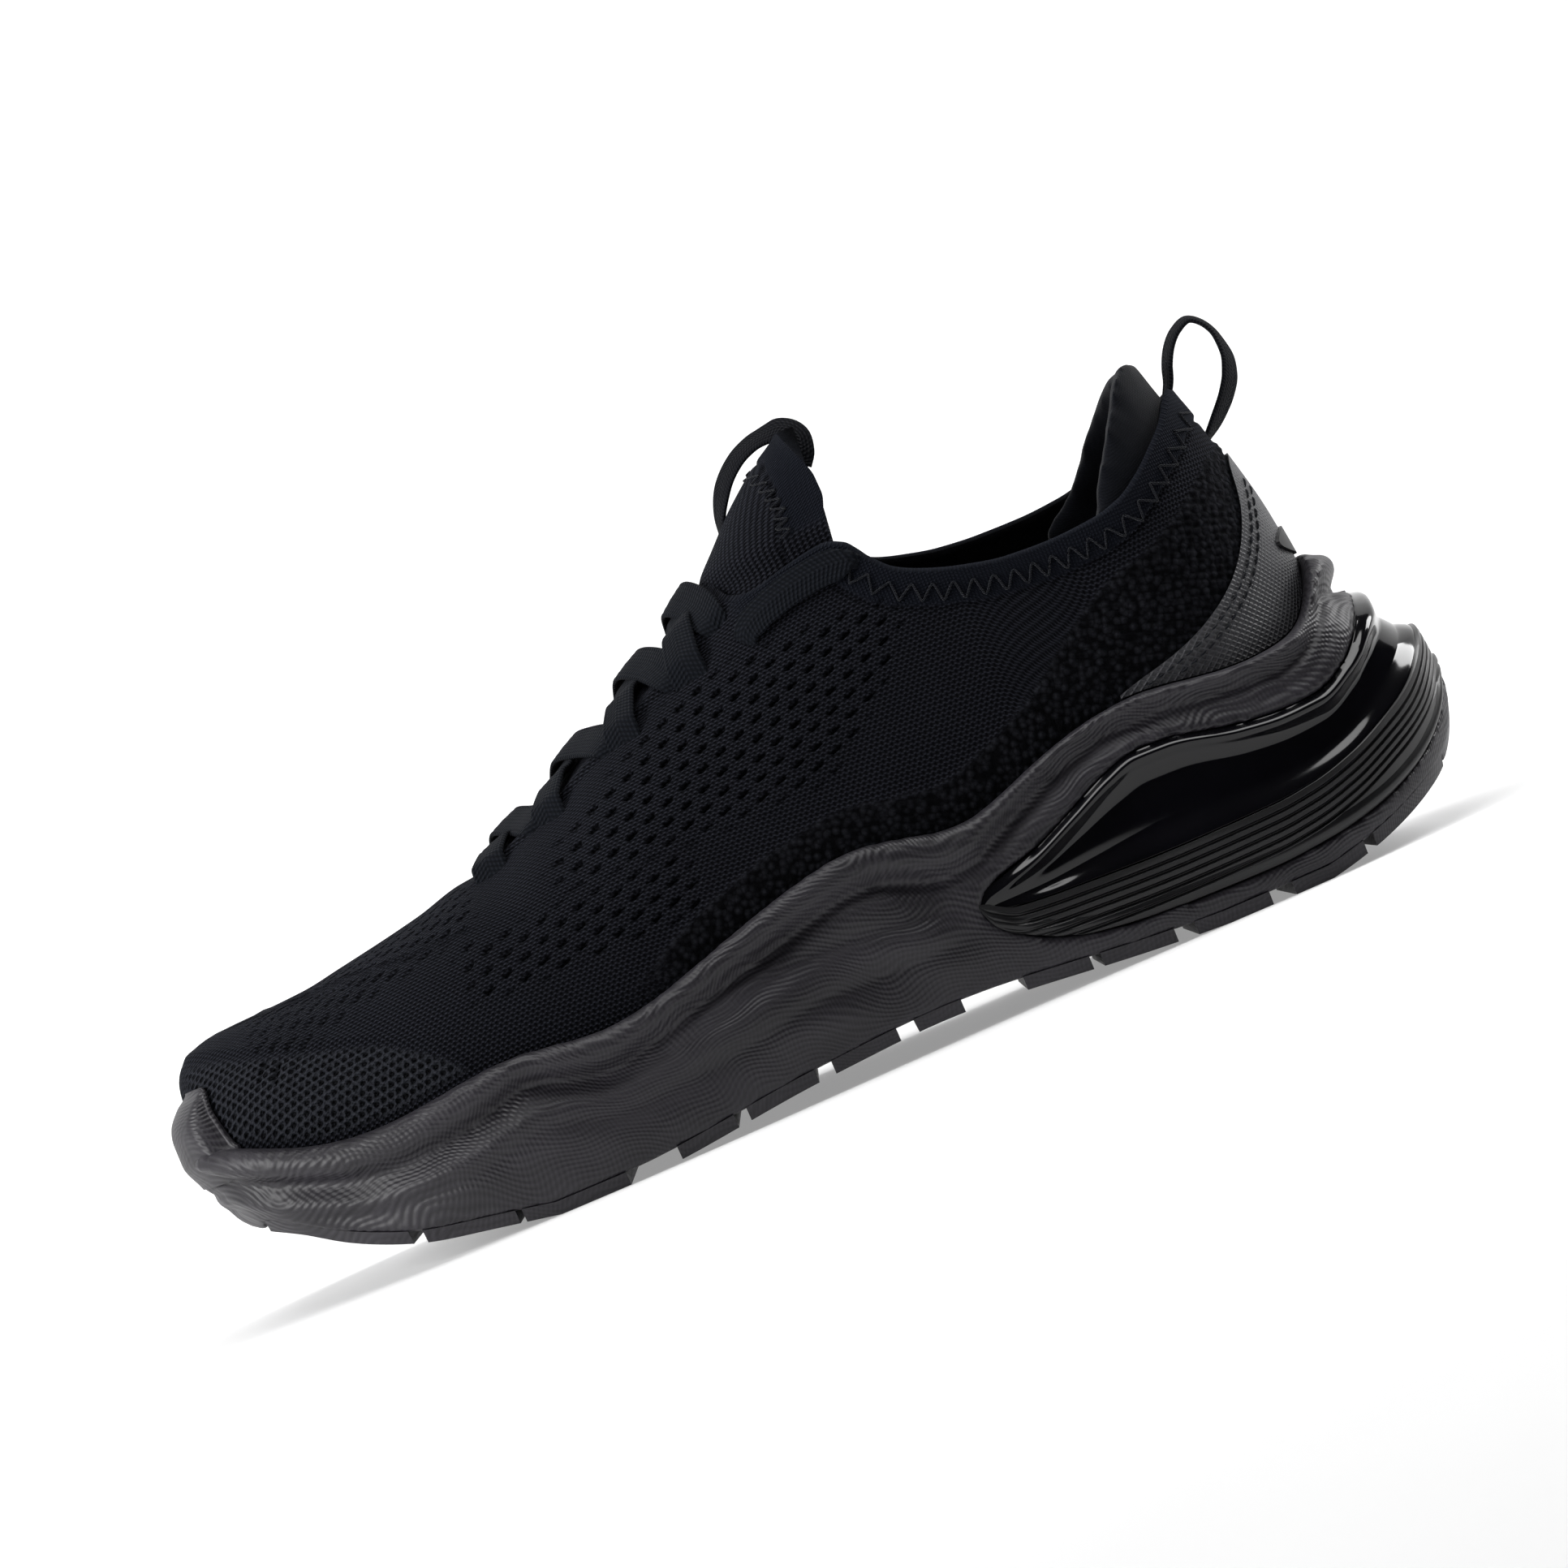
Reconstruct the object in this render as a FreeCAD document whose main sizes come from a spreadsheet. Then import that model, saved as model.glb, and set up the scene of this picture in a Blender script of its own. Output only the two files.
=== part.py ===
"""Left running shoe with a knitted sock upper, a one-piece foam midsole and an air unit under the heel.

Frame: millimetres, X from the toe (-) to the heel (+), Y from the outer side (-) to the inner side (+),
Z up, with the origin on the ground under the middle of the shoe.

Every curved piece is cut from two families of forms: the last (the foot-shaped body that the upper is
made round) and the sole form (the outer wall of the midsole). Both are lofts through planar rings whose
half-widths come from a few stations along the shoe. Prisms drawn in side view trim them into pieces.
"""

import FreeCAD, Part
import Sketcher
import math
import os

V = FreeCAD.Vector
doc = FreeCAD.newDocument("running_shoe")

# ---------------------------------------------------------------- driving dimensions
DIMENSIONS = {
    "ShoeLength": 299.3,
    "SoleSpan": 140.0,
    "KnitWall": 1.8,
    "TongueWall": 2.6,
    "LayerGap": 0.12,
    "CupGap": 0.2,
    "CounterWall": 1.5,
    "PuffWall": 0.9,
    "LiningWall": 0.8,
    "PillowWall": 7.5,
    "OverlayWall": 1.1,
    "BadgeWall": 0.7,
    "BadgeLength": 36.0,
    "BadgeHeight": 7.0,
    "BadgeLevel": 70.0,
    "BoardWall": 1.4,
    "LinerWall": 4.2,
    "PodWall": 3.0,
    "PodChannel": 10.0,
    "ChamberInset": 1.2,
    "ChamberWall": 1.8,
    "CradleInset": 0.5,
    "LoopTape": 8.0,
    "LoopThickness": 1.1,
    "LaceWidth": 8.0,
    "LaceThickness": 1.2,
}
NOMINAL_LENGTH = 299.3

sheet = doc.addObject("Spreadsheet::Sheet", "Dimensions")
for row, (name, value) in enumerate(DIMENSIONS.items(), start=1):
    sheet.set(f"A{row}", name)
    sheet.set(f"B{row}", str(value))
    sheet.setAlias(f"B{row}", name)
doc.recompute()


def size(name):
    """A driving dimension, read from the sheet."""
    return float(sheet.get(name))


GRADE = size("ShoeLength") / NOMINAL_LENGTH  # other shoe sizes scale every station
GRADED = f"Dimensions.ShoeLength / {NOMINAL_LENGTH}"

# ---------------------------------------------------------------- stations of the last
# (x, value), in mm from the toe end to the heel end
CREST = [(-125, 64.0), (-110, 64.7), (-100, 66.2), (-80, 69.7), (-70, 72.2), (-60, 75.0), (-50, 79.0),
         (-40, 84.0), (-20, 95.3), (0, 107.0), (10, 114.8), (20, 124.2), (34, 135.2), (60, 158), (131, 166)]
LAST_MIDDLE = [(-145, 8), (-120, 6.5), (-100, 4.5), (-80, 2.5), (-60, 1), (-40, 0), (-15, -1), (10, -2),
               (35, -2), (60, -1.5), (85, -0.5), (110, 0), (131, 0)]
LAST_OUTER = [(-145, 40), (-120, 42), (-105, 43.5), (-80, 48), (-60, 49.5), (-40, 49), (-15, 45.5),
              (10, 41.5), (35, 38.5), (60, 36.5), (85, 36), (131, 35)]
LAST_INNER = [(-145, 36), (-120, 38), (-105, 40.5), (-80, 47.5), (-60, 48), (-40, 45), (-15, 39.5),
              (10, 35.5), (35, 34), (60, 34), (85, 34.5), (131, 35)]
WIDEST_LEVEL = [(-145, 40), (-100, 37), (-60, 36), (0, 42), (60, 48), (131, 50)]
CREST_POWER = [(-145, 2.6), (-80, 2.3), (-40, 2.06), (0, 1.92), (40, 2.0), (131, 2.0)]
HEEL_BACK = [(-10, 131.0), (30, 131.4), (50, 130.4), (66, 129.2), (80, 127.4), (90, 125.3), (97, 123.6),
             (103, 122.1), (110, 120.0), (120, 117.5), (140, 115), (160, 114)]
FOOTBED = [(-160, 40), (-140, 31), (-120, 23.5), (-100, 19), (-80, 17), (-60, 16.5), (-40, 17), (-20, 19.5),
           (0, 23), (20, 27), (40, 30.5), (60, 33), (80, 34.5), (100, 35), (160, 36)]
TOE_TIP, TOE_CENTRE, TOE_LEVEL = -144.6, -125.0, 50.0
TOE_BEND, TOE_PLAN_POWER, TOE_SIDE_POWER = -95.0, 2.2, 2.8
HEEL_BEND, HEEL_POWER = 85.0, 2.3

# ---------------------------------------------------------------- stations of the sole
SOLE_OUTER = [(-150, 52), (-100, 52), (-75, 54.3), (-50, 54.5), (-30, 53.3), (-5, 48.5), (20, 45), (45, 44),
              (70, 44.5), (95, 46), (120, 46), (150, 45)]
SOLE_INNER = [(-150, 40), (-122, 42.5), (-100, 46.5), (-75, 51.7), (-55, 52), (-30, 46.5), (-5, 40.5),
              (20, 38), (45, 39), (70, 41), (95, 43), (120, 44), (150, 44)]
SOLE_FRONT = [(-8, -134), (10, -137), (20, -142), (28, -146), (33, -148), (40, -149.5), (48, -149.3),
              (54, -147.5), (72, -146)]
SOLE_BACK = [(-8, 132), (0, 136), (8, 141), (14, 145), (20, 147.6), (28, 149.6), (34, 149.8), (40, 149.3),
             (44, 147.8), (47, 145.8), (51, 141.6), (54, 138.8), (60, 136), (64, 132.6), (72, 131.6)]
SOLE_TOE_BEND, SOLE_HEEL_BEND = -85.0, 95.0
GROUND_FRONT = [(-152, 34.5), (-147.6, 31.2), (-144.5, 27.5), (-140, 22.7), (-135, 20), (-127, 16.6),
                (-120, 12.6), (-110, 8.2), (-100, 5), (-90, 3.2), (-80, 1.5), (-72, 0)]
GROUND_WAIST = [(-57, 0), (-45, 0.6), (-30, 2.1), (-15, 3.6), (0, 4.5), (15, 5.1), (30, 4.6), (45, 3.2),
                (60, 1.6), (72, 0.6), (82, 0)]
GROUND_BACK = [(106, 0), (115, 1.8), (125, 4.6), (135, 8.6), (140, 11.4), (144.5, 16), (148, 23),
               (149.7, 30), (152, 38)]
GROUND = GROUND_FRONT + GROUND_WAIST + GROUND_BACK
RIM = [(-140.5, 41.2), (-130, 38), (-120, 34.5), (-110, 32.3), (-98, 31.8), (-84, 33.3), (-70, 34.5),
       (-60, 33.6), (-50, 32.3), (-40, 33.2), (-20, 38.7), (0, 44.2), (15, 46), (30, 43), (37, 42),
       (48, 44.4), (60, 48.6), (75, 52), (84, 52.4), (100, 50.2), (115, 50.2), (121, 52), (125, 55.5),
       (128, 60), (130.5, 66.2)]
BUMPER_TOP = 54.3
AIR_TIP = (34.5, 24.0)
AIR_ROOF = [AIR_TIP, (37.2, 26.8), (50, 31), (60, 35.3), (70, 39.7), (77, 41.7), (84, 41.5), (100, 38.2),
            (110, 37.2), (118, 37.5), (127, 41.5), (133, 47.5), (138.4, 55.6), (147, 66.2)]
AIR_FLOOR = [AIR_TIP, (35.6, 20.4), (43, 14), (55, 9.6), (75, 7.6), (95, 7.3), (110, 8.4), (120, 10.2),
             (130, 13.4), (138, 17.8), (144, 23.4), (149, 32), (152, 42.5)]
BAND_TOP = [AIR_TIP, (42, 21.3), (55, 20.2), (80, 19.3), (100, 19.6), (110, 20.6), (120, 23), (130, 27),
            (138, 31.2), (144, 36.4), (149, 44.5), (152, 54)]
# a pod's first and last x; each sits between two flex grooves
POD_SPANS = [(-101, -80.8), (-79.4, -56), (-44, -30.5), (-27.5, -11.3), (-7.3, 8), (12.3, 23), (37, 51.6),
             (54, 70.4), (75, 92), (97.3, 115)]
TOE_POD_SPAN, REAR_POD_SPAN = (-134, -104), (117.6, 140)
SHELF_START, SHELF_END = -134.3, 140.3

# ---------------------------------------------------------------- side-view lines of the upper
THROAT = [(7.8, 113.5), (8.6, 109), (10.8, 106), (15, 104.8)]
COLLAR_OUTER = THROAT + [(25, 106.8), (34, 108), (38.5, 106.3), (42, 101.5), (46, 97.3), (52, 94.3),
                         (60, 91.7), (70, 89.7), (80, 89.2), (90, 89.8), (97, 91.5), (103, 95), (108, 99),
                         (113, 103.5), (118, 109.3), (124, 111.5), (140, 112)]
COLLAR_INNER = THROAT + [(25, 107.4), (34, 109.5), (38.5, 108.6), (42, 105), (46, 102.8), (52, 101),
                         (60, 99.3), (70, 98.4), (80, 98.2), (90, 98.8), (100, 101), (110, 105.2),
                         (118, 109.3), (124, 111.5), (140, 112)]
TONGUE_FOOT = [(9.8, 114.4), (10.6, 110.2), (12.4, 107.6), (15.6, 106.6), (25, 108.8), (33, 110.8),
               (37.2, 110.6)]
TONGUE_BACK = [(37.2, 110.6), (37.6, 114), (39.2, 119.5), (39.2, 123), (38, 128), (36.8, 131.5),
               (35.4, 137), (34, 145)]
PILLOW_OUTER_TOP = [(86, 84), (90, 91), (93, 97), (97, 103), (101, 109), (105, 115), (108, 119),
                    (111, 120.8), (116, 119.5), (122, 117)]
PILLOW_INNER_TOP = [(82, 92), (88, 97.5), (93, 101.5), (98, 108), (105, 116), (108, 119.3),
                    (111, 120.8), (116, 119.5), (122, 117)]
PILLOW_FOOT = [(86, 84), (96, 80), (110, 82), (128, 86)]
OVERLAY_EDGE = [(80, 53.4), (85, 54.8), (92, 56.4), (100, 59), (107, 62.6), (113, 67.2),
                (117.5, 72.6), (120.5, 78), (122.5, 84), (124, 90.5), (135, 93)]
LACE_STATIONS = [-57, -40, -18.5, 0, 11]


# ---------------------------------------------------------------- curves
def smooth(stations, at):
    """Monotone cubic value at one place along a list of (place, value) stations."""
    if at <= stations[0][0]:
        return stations[0][1]
    if at >= stations[-1][0]:
        return stations[-1][1]
    index = max(i for i in range(len(stations) - 1) if stations[i][0] <= at)

    def secant(i):
        (p, a), (q, b) = stations[i], stations[i + 1]
        return (b - a) / (q - p)

    def slope(i):
        if i == 0:
            return secant(0)
        if i == len(stations) - 1:
            return secant(i - 1)
        before, after = secant(i - 1), secant(i)
        if before * after <= 0:
            return 0.0
        return 2 * before * after / (before + after)

    (start, low), (stop, high) = stations[index], stations[index + 1]
    span = stop - start
    part = (at - start) / span
    rise = (1 + 2 * part) * (1 - part) ** 2 * low + part * part * (3 - 2 * part) * high
    lean = part * (1 - part) ** 2 * slope(index) - part * part * (1 - part) * slope(index + 1)
    return rise + span * lean


def rounding(ratio, power):
    """Superellipse fall-off from 1 at ratio 0 to 0 at ratio 1."""
    if ratio <= 0:
        return 1.0
    if ratio >= 1:
        return 0.0
    return (1 - ratio ** power) ** (1 / power)


# ---------------------------------------------------------------- the last
def crest(x, inset):
    """Height of the last's ridge at x, for a form that lies inset inside the last."""
    tip = TOE_TIP + inset
    if x < TOE_CENTRE:
        rise = CREST[0][1] - inset - TOE_LEVEL
        return TOE_LEVEL + rise * rounding((TOE_CENTRE - x) / (TOE_CENTRE - tip), TOE_SIDE_POWER)
    lean = smooth(CREST, x + 1) - smooth(CREST, x - 1)
    return smooth(CREST, x) - inset * math.sqrt(1 + lean * lean / 4)


def in_last(x, z, inset):
    """True where a point of the side view lies inside the last's outline."""
    inside_ends = TOE_TIP + inset < x < smooth(HEEL_BACK, z) - inset
    return inside_ends and (z < TOE_LEVEL or z < crest(x, inset))


def last_half_width(x, z, side, inset):
    """Distance from the last's middle line to its wall, side -1 outer and +1 inner."""
    stations = LAST_OUTER if side < 0 else LAST_INNER
    width = smooth(stations, x) - inset
    level = smooth(WIDEST_LEVEL, x)
    if z > level:
        width *= rounding((z - level) / (crest(x, inset) - level), smooth(CREST_POWER, x))
    else:
        width *= max(0.8, 1 - 0.1 * ((level - z) / 20) ** 2)
    toe = (TOE_BEND - x) / (TOE_BEND - TOE_TIP - inset)
    heel = (x - HEEL_BEND) / (smooth(HEEL_BACK, z) - inset - HEEL_BEND)
    return width * rounding(toe, TOE_PLAN_POWER) * rounding(heel, HEEL_POWER)


def reach(inside, start, stop):
    """The furthest point from start towards stop that is still inside."""
    near, far = 0.0, 1.0
    for _ in range(40):
        middle = (near + far) / 2
        if inside(*(a + (b - a) * middle for a, b in zip(start, stop))):
            near = middle
        else:
            far = middle
    return tuple(a + (b - a) * near for a, b in zip(start, stop))


RING_HALF = 13  # points along each side of a ring
HUB = 90.0  # x of a place inside the last at every level


def ring(front, back, half_width, middle):
    """A closed planar curve round the shoe, over the side-view line from front to back."""
    steps = [(1 - math.cos(math.pi * k / RING_HALF)) / 2 for k in range(RING_HALF + 1)]
    line = [(front[0] + (back[0] - front[0]) * s, front[1] + (back[1] - front[1]) * s) for s in steps]
    points = [V(front[0], middle(front[0]), front[1])]
    points += [V(x, middle(x) - half_width(x, z, -1), z) for x, z in line[1:-1]]
    points += [V(back[0], middle(back[0]), back[1])]
    points += [V(x, middle(x) + half_width(x, z, 1), z) for x, z in reversed(line[1:-1])]
    curve = Part.BSplineCurve()
    marks = [k / len(points) for k in range(len(points) + 1)]
    curve.interpolate(Points=points, PeriodicFlag=True, Parameters=marks)
    return Part.Wire([curve.toShape()])


def last_form(inset):
    """The last, drawn in by inset, as a boot-shaped solid from below the ground to above the collar."""
    fronts = [(TOE_TIP - 4, z) for z in (-10, 12, 30, 42, 50)]
    fronts += [(x, crest(x, 0) + 6) for x in (-141.5, -136, -122, -100, -75, -50, -28, -8, 8, 22, 35, 48)]
    backs = [-10, 12, 30, 42, 50, 56, 61, 66, 73, 81, 89, 96, 103, 110, 120, 131, 143]
    rings = []
    for front, level in zip(fronts, backs):
        share = (HUB - front[0]) / (140.0 - front[0])
        hub = (HUB, front[1] + (level - front[1]) * share)
        start = reach(lambda x, z: in_last(x, z, inset), hub, front)
        stop = reach(lambda x, z: in_last(x, z, inset), hub, (140.0, level))
        rings.append(ring(start, stop, lambda x, z, side: last_half_width(x, z, side, inset),
                          lambda x: smooth(LAST_MIDDLE, x)))
    return Part.makeLoft(rings, True, False, False, 5)


# ---------------------------------------------------------------- the sole
def sole_half_width(x, z, side, inset):
    """Distance from the middle line to the sole's outer wall, bulging between ground and rim."""
    stations = SOLE_OUTER if side < 0 else SOLE_INNER
    ground, rim = smooth(GROUND, x), smooth(RIM, x)
    share = min(1.0, max(0.0, (z - ground) / (rim - ground)))
    heel_flare = min(1.0, max(0.0, (x - 30) / 60))
    draw_in = 3.2 * (1 - min(1.0, share / 0.3)) ** 2
    draw_in += (1.6 + 4.4 * heel_flare) * max(0.0, share - 0.35) ** 1.5 / 0.52
    width = smooth(stations, x) - draw_in - inset
    toe = (SOLE_TOE_BEND - x) / (SOLE_TOE_BEND - smooth(SOLE_FRONT, z) - inset)
    heel = (x - SOLE_HEEL_BEND) / (smooth(SOLE_BACK, z) - inset - SOLE_HEEL_BEND)
    return width * rounding(toe, TOE_PLAN_POWER) * rounding(heel, HEEL_POWER)


def sole_form(inset):
    """The sole's outer wall as a tall solid through level rings."""
    rings = []
    for z in (-8, 0, 6, 12, 18, 24, 30, 36, 42, 48, 54, 60, 66, 72):
        front = (smooth(SOLE_FRONT, z) + inset, z)
        back = (smooth(SOLE_BACK, z) - inset, z)
        rings.append(ring(front, back, lambda x, z, side: sole_half_width(x, z, side, inset),
                          lambda x: smooth(LAST_MIDDLE, x)))
    return Part.makeLoft(rings, True, False, False, 5)


# ---------------------------------------------------------------- building objects of the document
def grade(shape):
    """Scales a shape made at the nominal length to the sheet's shoe length."""
    if abs(GRADE - 1) < 1e-9:
        return shape
    matrix = FreeCAD.Matrix()
    matrix.scale(GRADE, GRADE, GRADE)
    return shape.transformGeometry(matrix)


def feature(name, shape):
    """A Part::Feature that holds a shape made by Part's own functions."""
    made = doc.addObject("Part::Feature", name)
    made.Shape = grade(shape)
    return made


def spline(points):
    """A curve in side view through (x, z) points."""
    curve = Part.BSplineCurve()
    curve.interpolate([V(x, 0, z) for x, z in points])
    return curve.toShape()


def side_face(*lines):
    """A face in side view bounded by lines of (x, z) points; two-point lines stay straight."""
    edges = []
    for line in lines:
        start, stop = V(line[0][0], 0, line[0][1]), V(line[-1][0], 0, line[-1][1])
        straight = len(line) == 2
        edges.append(Part.LineSegment(start, stop).toShape() if straight else spline(line))
    joined = []
    for here, after in zip(edges, edges[1:] + edges[:1]):
        joined.append(here)
        end, begin = here.Vertexes[-1].Point, after.Vertexes[0].Point
        if end.distanceToPoint(begin) > 1e-6:
            joined.append(Part.LineSegment(end, begin).toShape())
    return Part.Face(Part.Wire(joined))


def prism(name, face, side=0):
    """The face swept across the shoe: side 0 both ways, -1 the outer half, +1 the inner half."""
    base = feature(name + "_face", face)
    made = doc.addObject("Part::Extrusion", name)
    made.Base = base
    made.DirMode = "Custom"
    made.Dir = V(0, 1 if side >= 0 else -1, 0)
    made.Solid = True
    made.Symmetric = side == 0
    made.setExpression("LengthFwd", "Dimensions.SoleSpan" if side == 0 else "Dimensions.SoleSpan / 2")
    return made


def boolean(kind, name, base, tool):
    """A Part::Cut, Part::Common or Part::Fuse of two objects."""
    made = doc.addObject("Part::" + kind, name)
    made.Base = base
    made.Tool = tool
    made.Refine = False
    return made


def span_box(name, first, last, low, height, side=0):
    """A box over a stretch of the shoe: side 0 right across, -1 and +1 on one side of the channel."""
    made = doc.addObject("Part::Box", name)
    made.setExpression("Length", f"{last - first} * {GRADED}")
    made.Height = height
    half, channel = "Dimensions.SoleSpan / 2", "Dimensions.PodChannel / 2"
    made.setExpression("Width", "Dimensions.SoleSpan" if side == 0 else f"{half} - {channel}")
    made.setExpression("Placement.Base.x", f"{first} * {GRADED}")
    made.setExpression("Placement.Base.y", channel if side > 0 else f"-{half}")
    made.Placement.Base.z = low
    return made


subparts = []


def subpart(obj, label):
    """Marks an object of the document as one of the shoe's pieces."""
    obj.Label = label
    subparts.append(obj)
    return obj


_forms = {}


def last_at(inset):
    """The last form at an inset, made once."""
    key = round(inset, 3)
    if key not in _forms:
        _forms[key] = feature("last_%d" % round(inset * 1000 + 10000), last_form(key))
    return _forms[key]


def layer(name, outer, inner, region):
    """The wall between two insets of the last, trimmed by a prism."""
    block = boolean("Common", name + "_block", last_at(outer), region)
    return boolean("Cut", name + "_wall", block, last_at(inner))


def raised(line, by):
    """The same line, moved up."""
    return [(x, z + by) for x, z in line]


def footbed_line(lift, first=-158, last=158):
    """The footbed's profile, lifted, between two places."""
    inner = [(x, z + lift) for x, z in FOOTBED if first < x < last]
    return [(first, smooth(FOOTBED, first) + lift)] + inner + [(last, smooth(FOOTBED, last) + lift)]


# ---------------------------------------------------------------- shared regions
GAP = size("LayerGap")
CUP = size("CupGap")
POD = size("PodWall")
HULL = 3.0  # foam left between the foot's cup and the air unit


def ground_lines(lift):
    """The tread's profile in pieces, straight where the shoe stands flat."""
    flat_front = [GROUND_FRONT[-1], GROUND_WAIST[0]]
    flat_back = [GROUND_WAIST[-1], GROUND_BACK[0]]
    return [raised(line, lift) for line in (GROUND_FRONT, flat_front, GROUND_WAIST, flat_back, GROUND_BACK)]


def backwards(lines):
    """The same lines, run the other way."""
    return [list(reversed(line)) for line in reversed(lines)]


def both_sides(name, outer_face, inner_face):
    """A region whose outer and inner halves differ."""
    outer_half = prism(name + "_outer", outer_face, -1)
    return boolean("Fuse", name, outer_half, prism(name + "_inner", inner_face, 1))


def foot_hollow(name, inset, lift):
    """The last at an inset, from a lifted footbed upwards."""
    room = prism(name + "_room", side_face(footbed_line(lift), [(158, 200), (-158, 200)]))
    return boolean("Common", name, last_at(inset), room)


sole = feature("sole_form", sole_form(0))
cup = foot_hollow("cup", -CUP, 0)
hull = foot_hollow("hull", GAP - HULL, GAP - HULL)
core = foot_hollow("core", -HULL, -HULL)

# ---------------------------------------------------------------- midsole and toe bumper
bumper_seam = [(-152, 35.5), (-146.5, 37.2), (-141.6, 40.9)]
foam_nose = raised(bumper_seam, -0.1)
foam_outline = side_face(foam_nose, [foam_nose[-1], RIM[0]], RIM, [RIM[-1], (156, 66.2)],
                         [(156, 66.2), (156, 38)], *backwards(ground_lines(0)))
foam_block = boolean("Common", "foam_block", sole, prism("foam_region", foam_outline))
air_outline = side_face(AIR_ROOF, [(147, 66.2), (158, 66.2)], [(158, 66.2), (158, 42.5)],
                        [(158, 42.5), (152, 42.5)], list(reversed(AIR_FLOOR)))
air_space = boolean("Cut", "air_space", prism("air_region", air_outline), hull)
foam_cupped = boolean("Cut", "foam_cupped", foam_block, cup)
shelf_roof = backwards(ground_lines(POD + GAP))
shelf_outline = side_face(*ground_lines(-8), [(152, 30), (152, 41)], *shelf_roof)
shelf_span = span_box("shelf_span", SHELF_START, SHELF_END, -20, 60)
pod_room = boolean("Common", "pod_room", shelf_span, prism("shelf", shelf_outline))
foam_shelved = boolean("Cut", "foam_shelved", foam_cupped, pod_room)
subpart(boolean("Cut", "foam", foam_shelved, air_space), "midsole")

bumper_back = (-143.2, 43.4)
bumper_tip = (-144.4, BUMPER_TOP)
bumper_outline = side_face(bumper_seam, [bumper_seam[-1], bumper_back], [bumper_back, bumper_tip],
                           [bumper_tip, (-152, BUMPER_TOP)])
bumper_block = boolean("Common", "bumper_block", sole, prism("bumper_region", bumper_outline))
subpart(boolean("Cut", "bumper", bumper_block, last_at(-CUP)), "toe_bumper")

# ---------------------------------------------------------------- air unit and its ribbed cradle
def side_of_line(name, line, far):
    """Everything from a side-view line to the level far, from the air unit's tip to behind the shoe."""
    (first, _), (last, end) = line[0], line[-1]
    corners = [(last, end), (170, end), (170, far), (first, far)]
    return prism(name, side_face(line, *[list(pair) for pair in zip(corners, corners[1:])]))


behind_tip = span_box("behind_tip", AIR_TIP[0] + 2.2, 165, 0, 100)


def wall_between(name, wall, floor, roof):
    """The part of a wall form between two side-view lines, behind the air unit's tip."""
    clipped = boolean("Common", name + "_clipped", wall, behind_tip)
    topped = boolean("Common", name + "_topped", clipped, side_of_line(name + "_roof", roof, -20))
    return boolean("Common", name + "_band", topped, side_of_line(name + "_floor", floor, 90))


chamber_wall = feature("chamber_wall", sole_form(size("ChamberInset")))
chamber_block = wall_between("chamber", chamber_wall, raised(BAND_TOP, GAP), raised(AIR_ROOF, -GAP))
chamber_body = boolean("Cut", "chamber_body", chamber_block, core)
gas_top = [(48, 26.3), (60, 28), (80, 29.6), (100, 30.1), (124, 30.3)]
CHAMBER = size("ChamberWall")
gas_foot = raised([(48, 20.9), (60, 20), (80, 19.3), (100, 19.6), (112, 21), (124, 24.4)], GAP + CHAMBER)
gas_outline = side_face(gas_top, [gas_top[-1], gas_foot[-1]], list(reversed(gas_foot)))
gas_wall = feature("gas_wall", sole_form(size("ChamberInset") + CHAMBER))
gas = boolean("Common", "gas", gas_wall, prism("gas_region", gas_outline))
subpart(boolean("Cut", "air_chamber", chamber_body, gas), "air_unit")

cradle_wall = feature("cradle_wall", sole_form(size("CradleInset")))
cradle_block = wall_between("cradle", cradle_wall, raised(AIR_FLOOR, GAP), BAND_TOP)
subpart(boolean("Cut", "cradle", cradle_block, core), "air_cradle")

# ---------------------------------------------------------------- outsole pods
tread_outline = side_face(*ground_lines(0), [(152, 38), (152, 38 + POD)], *backwards(ground_lines(POD)))
tread = boolean("Common", "tread", sole, prism("tread_region", tread_outline))


def pod(name, span, side):
    """One rubber pod: a bite of the tread between two flex grooves, on one side of the channel or across."""
    bite = span_box(name + "_bite", *span, -10, 60, side)
    return subpart(boolean("Common", name + "_rubber", bite, tread), name)


pod("pod_toe", TOE_POD_SPAN, 0)
pod("pod_rear", REAR_POD_SPAN, 0)
for index, span in enumerate(POD_SPANS, start=1):
    pod(f"pod_{index:02d}_outer", span, -1)
    pod(f"pod_{index:02d}_inner", span, 1)

# ---------------------------------------------------------------- boards under the foot
KNIT = size("KnitWall")
BOARD = size("BoardWall")
LINER = size("LinerWall")
BOARD_LIFT = 0.25
LINER_LIFT = BOARD_LIFT + BOARD + GAP
CAVITY_LIFT = LINER_LIFT + LINER + GAP


def slab(name, inset, low, high):
    """A sheet across the last that follows the footbed."""
    outline = side_face(footbed_line(low), list(reversed(footbed_line(high))))
    return boolean("Common", name + "_slab", last_at(inset), prism(name + "_region", outline))


subpart(slab("board", KNIT + GAP, BOARD_LIFT, BOARD_LIFT + BOARD), "strobel_board")
subpart(slab("liner", KNIT + 4 * GAP, LINER_LIFT, LINER_LIFT + LINER), "sockliner")

# ---------------------------------------------------------------- knitted upper and stiffeners
upper_foot = list(reversed(footbed_line(BOARD_LIFT)))
throat_top = (7.4, 140)


def upper_half(collar):
    """Side view of the knit upper below one side's collar line."""
    return side_face([(-158, 140), throat_top], [throat_top, THROAT[0]], collar,
                     [collar[-1], (158, 112)], upper_foot)


upper_region = both_sides("upper_region", upper_half(COLLAR_OUTER), upper_half(COLLAR_INNER))
subpart(layer("knit", 0, KNIT, upper_region), "knit_upper")

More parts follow.
